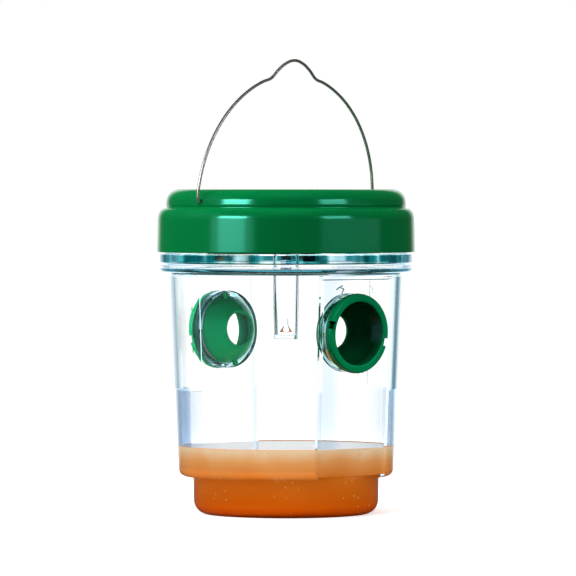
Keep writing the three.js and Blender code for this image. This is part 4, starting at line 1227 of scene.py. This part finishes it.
class TRAP_OT_lid(bpy.types.Operator):
    """Models the two-tier lid with its pocket, screw posts, lugs and pivot holes"""

    bl_idname = "trap.lid"
    bl_label = "Lid"

    def execute(self, context):
        lid, finish = context.scene.trap_lid, context.scene.trap_finish
        underside, bottom = lid.top - lid.wall, lid.top - lid.pocket_depth
        swell, shoulder, foot = [], [], lid.tier_radius + lid.tier_fillet
        for part in (step / 10 for step in range(11)):
            level = lid.swell_bottom + (lid.swell_top - lid.swell_bottom) * part
            swell.append((lid.tier_radius + lid.swell_rise * math.sin(HALF_TURN * part), level))
        for part in (step / 12 for step in range(13)):
            x = foot + (lid.skirt_radius - lid.skirt_draft - foot) * math.cos(QUARTER_TURN * part)
            shoulder.append((x, lid.tier_bottom - lid.shoulder_drop * (1 - math.sin(QUARTER_TURN * part))))
        corners = [
            (0, underside),
            (lid.tier_bore, underside, MM),
            (lid.tier_bore, lid.tier_bottom - lid.wall),
            (lid.skirt_bore, lid.tier_bottom - lid.wall, MM),
            (lid.skirt_bore, lid.skirt_bottom, 0.3 * MM),
            (lid.skirt_radius, lid.skirt_bottom, lid.edge_round),
            *shoulder,
            (lid.tier_radius, lid.tier_bottom, lid.tier_fillet),
            *swell,
            (lid.tier_radius, lid.top, lid.tier_round),
            (0, lid.top),
        ]
        shell = turned("lid", rounded(corners), lid.sides)
        half = lid.pocket_size / 2
        wide = half + lid.pocket_floor
        lows, highs = (-wide, -wide, bottom - lid.pocket_floor), (wide, wide, underside + MM)
        shell = combined(shell, block("tray", lows, highs, lid.pocket_round), "UNION")
        post = peg("post", lid.post_radius, underside - lid.post_length, underside + MM)
        outline = band(lid.lug_radius, lid.skirt_bore + MM, lid.lug_top - lid.lug_height, lid.lug_top)
        lug = sector("lug", outline, 12, lid.lug_arc)
        holders = joined([copies(post, QUARTERS, lid.post_distance), copies(lug, QUARTERS)])
        shell = combined(shell, holders, "UNION")
        pocket = block("pocket", (-half, -half, bottom), (half, half, lid.top + MM), lid.pocket_round)
        shell = combined(shell, pocket, "DIFFERENCE")
        screw_hole = peg("screw_hole", lid.post_hole, underside - lid.post_length - MM, underside, sides=24)
        pivot_hole = peg("pivot_hole", lid.pivot_hole, -4 * MM, 4 * MM, sides=32)
        place = (MM - lid.tier_radius, 0, lid.pivot_level)
        pivot_hole = placed(pivot_hole, place=place, turns=(0, QUARTER_TURN, 0))
        holes = [
            peg("lead_hole", lid.lead_hole, bottom - 3 * MM, bottom + MM, 0, -lid.lead_offset),
            copies(screw_hole, QUARTERS, lid.post_distance),
            copies(pivot_hole, (0, HALF_TURN)),
        ]
        shell = combined(shell, joined(holes), "DIFFERENCE")
        shell = placed(shell, turns=(0, 0, lid.turn_at_rest))
        gloss = {"roughness": 0.15, "level": 1.0, "tint": (0.15, 1, 0.8), "rub_share": 0.1, "bump": 0.03}
        material = plastic("lid green", finish.lid_green, **gloss)
        dull_top(material, lid.top - 0.2 * MM)
        finished(shell, "lid_cap", "lid_body", material, "lid_shell", smooth_degrees=35)
        return {"FINISHED"}


class TRAP_OT_bail(bpy.types.Operator):
    """Models the wire bail"""

    bl_idname = "trap.bail"
    bl_label = "Bail"

    def execute(self, context):
        bail, lid, finish = context.scene.trap_bail, context.scene.trap_lid, context.scene.trap_finish
        half, bend, steps = bail.half_span, bail.bend_radius, 14
        bend_start, halfway = half - bend, bend * (1 - math.cos(QUARTER_TURN / 2))
        # from one end to the crown: the end in the lid, the bend, the oval and the hump's side
        side = [
            (-bail.wire_end, 0),
            (-(bail.wire_end + bend_start) / 2, 0),
            (-bend_start, 0),
            (halfway - half, halfway),
        ]
        hump, first = math.acos(bail.hump_half_width / half), math.asin(1.6 * bend / bail.rise)
        for step in range(steps + 1):
            angle = first + (hump - first) * step / steps
            side.append((-half * math.cos(angle), bail.rise * math.sin(angle)))
        base = bail.rise * math.sin(hump)
        for across, up in ((0.7, 0.46), (0.39, 0.82)):
            side.append((-bail.hump_half_width * across, base + bail.hump_rise * up))
        path = [*side, (0, base + bail.hump_rise), *[(-x, z) for x, z in reversed(side)]]
        settle()
        bpy.ops.curve.primitive_bezier_curve_add(location=(0, 0, 0))
        wire = context.object
        bpy.ops.object.mode_set(mode="EDIT")
        bpy.ops.curve.select_all(action="SELECT")
        bpy.ops.curve.subdivide(number_cuts=len(path) - 2)
        bpy.ops.curve.handle_type_set(type="AUTOMATIC")
        bpy.ops.object.mode_set(mode="OBJECT")
        for knot, (x, z) in zip(wire.data.splines[0].bezier_points, path, strict=True):
            knot.co = (x, 0, z)
        wire.data.bevel_depth = bail.wire_radius
        wire.data.bevel_resolution = 5
        wire.data.resolution_u = 8
        wire.data.use_fill_caps = True
        pick(wire)
        bpy.ops.object.convert(target="MESH")
        turns = (bail.lean, 0, lid.turn_at_rest)
        wire = placed(context.object, place=(0, 0, lid.pivot_level), turns=turns)
        material = metal("wire steel", finish.steel, roughness=0.34, bump=0.0)
        finished(wire, "wire_bail", "bail_body", material, "bail", smooth_degrees=50)
        return {"FINISHED"}


class TRAP_OT_light_tube(bpy.types.Operator):
    """Models the light tube, the lamp and its holder"""

    bl_idname = "trap.light_tube"
    bl_label = "Light tube"

    def execute(self, context):
        tube, finish = context.scene.trap_tube, context.scene.trap_finish
        floor, top = tube.bottom + tube.wall, tube.seat + tube.flange_height
        cone, wide = floor + tube.cone_height, tube.top_radius + tube.flange
        corners = [
            (0, tube.bottom),
            (tube.bottom_radius, tube.bottom, 0.5 * MM),
            (tube.top_radius, tube.seat, 0.2 * MM),
            (wide, tube.seat, 0.2 * MM),
            (wide, top, 0.2 * MM),
            (tube.top_radius - tube.wall, top, 0.2 * MM),
            (tube.bottom_radius - tube.wall, floor, 0.4 * MM),
            (tube.stem_radius, cone, 2.5 * MM),
            (tube.stem_radius, cone + tube.stem_height, 0.3 * MM),
            (0, cone + tube.stem_height),
        ]
        shell = turned("tube", rounded(corners), tube.sides)
        material = clear("clear tube", finish.clear_tint, ior=1.3, density=10.0, shades=tube_painted_outline)
        finished(shell, "clear_tube", "lid_body", material, "light_tube")
        lamp_top = tube.lamp_tip + tube.lamp_length
        corners = [
            (0, tube.lamp_tip),
            (tube.lamp_radius, tube.lamp_tip, tube.lamp_radius),
            (tube.lamp_radius, lamp_top, 0.2 * MM),
            (0, lamp_top),
        ]
        lamp = turned("lamp", rounded(corners, steps=10), 40)
        finished(lamp, "lamp_lens", "lid_body", clear("lamp lens", finish.lamp), "uv_lamp")
        low, slim = lamp_top + 0.3 * MM, tube.holder_radius - 0.25 * MM
        corners = [
            (0, low),
            (tube.holder_radius, low, 0.2 * MM),
            (tube.holder_radius, low + 1.2 * MM, 0.1 * MM),
            (slim, low + 1.4 * MM),
            (slim, tube.holder_top),
            (0, tube.holder_top),
        ]
        holder = turned("holder", rounded(corners), 32)
        material = plastic("holder black", finish.black, roughness=0.45)
        finished(holder, "lamp_socket", "lid_body", material, "lamp_holder")
        return {"FINISHED"}


class TRAP_OT_small_parts(bpy.types.Operator):
    """Gives the solar panel, housing, switch, seal and inner parts their materials"""

    bl_idname = "trap.small_parts"
    bl_label = "Small parts"

    def execute(self, context):
        finish, lid = context.scene.trap_finish, context.scene.trap_lid
        green = plastic("housing green", finish.lid_green, roughness=0.3, level=0.35)
        black = plastic("black plastic", finish.black, roughness=0.4)
        nickel = metal("nickel", finish.nickel)
        red = plastic("red sleeve", finish.red_lead, roughness=0.45)
        dark = plastic("black sleeve", finish.black_lead, roughness=0.45)
        materials = {
            "lid_seal": plastic("seal rubber", finish.seal_grey, roughness=0.65, level=0.3, bump=0.3),
            "solar_window": clear("solar window", finish.clear_tint),
            "solar_cell": cell_material(finish, lid),
            "lamp_housing": green,
            "battery_door": green,
            "battery": plastic("battery wrap", finish.wrap, roughness=0.3),
            "battery_contact_plus": nickel,
            "battery_contact_minus": nickel,
            "circuit_board": plastic("board", finish.board, roughness=0.4),
            "charge_chip": black,
            "switch_body": black,
            "switch_knob": black,
            "solar_lead_plus": red,
            "battery_lead_plus": red,
            "solar_lead_minus": dark,
            "battery_lead_minus": dark,
        }
        for name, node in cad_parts.items():
            if "screw" in name:
                materials[name] = nickel
            if name not in materials:
                if not node.hide_render:
                    raise RuntimeError(f"{name} is shown and has no material")
                continue
            for slot in node.material_slots:
                slot.material = materials[name]
        return {"FINISHED"}


class TRAP_PT_sidebar(bpy.types.Panel):
    """The trap's sizes, finishes and pieces"""

    bl_idname = "TRAP_PT_sidebar"
    bl_label = "Insect trap"
    bl_space_type = "VIEW_3D"
    bl_region_type = "UI"
    bl_category = "Insect trap"

    def draw(self, context):
        for operator in OPERATORS:
            self.layout.operator(operator.bl_idname)
        for name in GROUPS:
            group = getattr(context.scene, name)
            box = self.layout.box()
            box.label(text=name.replace("_", " ").capitalize())
            for key in group.bl_rna.properties.keys():
                if key not in ("rna_type", "name"):
                    box.prop(group, key)


GROUPS = {
    "trap_jar": TrapJar,
    "trap_entry": TrapEntry,
    "trap_lid": TrapLid,
    "trap_bail": TrapBail,
    "trap_tube": TrapTube,
    "trap_bait": TrapBait,
    "trap_finish": TrapFinish,
    "trap_stage": TrapStage,
}
OPERATORS = (
    TRAP_OT_stage,
    TRAP_OT_jar,
    TRAP_OT_bait,
    TRAP_OT_entries,
    TRAP_OT_lid,
    TRAP_OT_bail,
    TRAP_OT_light_tube,
    TRAP_OT_small_parts,
)


def register():
    """Registers the sizes, the operators and the panel."""
    for name, group in GROUPS.items():
        bpy.utils.register_class(group)
        setattr(bpy.types.Scene, name, PointerProperty(type=group))
    for operator in OPERATORS:
        bpy.utils.register_class(operator)
    bpy.utils.register_class(TRAP_PT_sidebar)


def unregister():
    """Takes back what register does."""
    bpy.utils.unregister_class(TRAP_PT_sidebar)
    for operator in reversed(OPERATORS):
        bpy.utils.unregister_class(operator)
    for name, group in GROUPS.items():
        delattr(bpy.types.Scene, name)
        bpy.utils.unregister_class(group)


def main():
    """Builds the trap and its stage."""
    register()
    for operator in OPERATORS:
        area, name = operator.bl_idname.split(".")
        getattr(getattr(bpy.ops, area), name)()


if __name__ == "__main__":
    main()
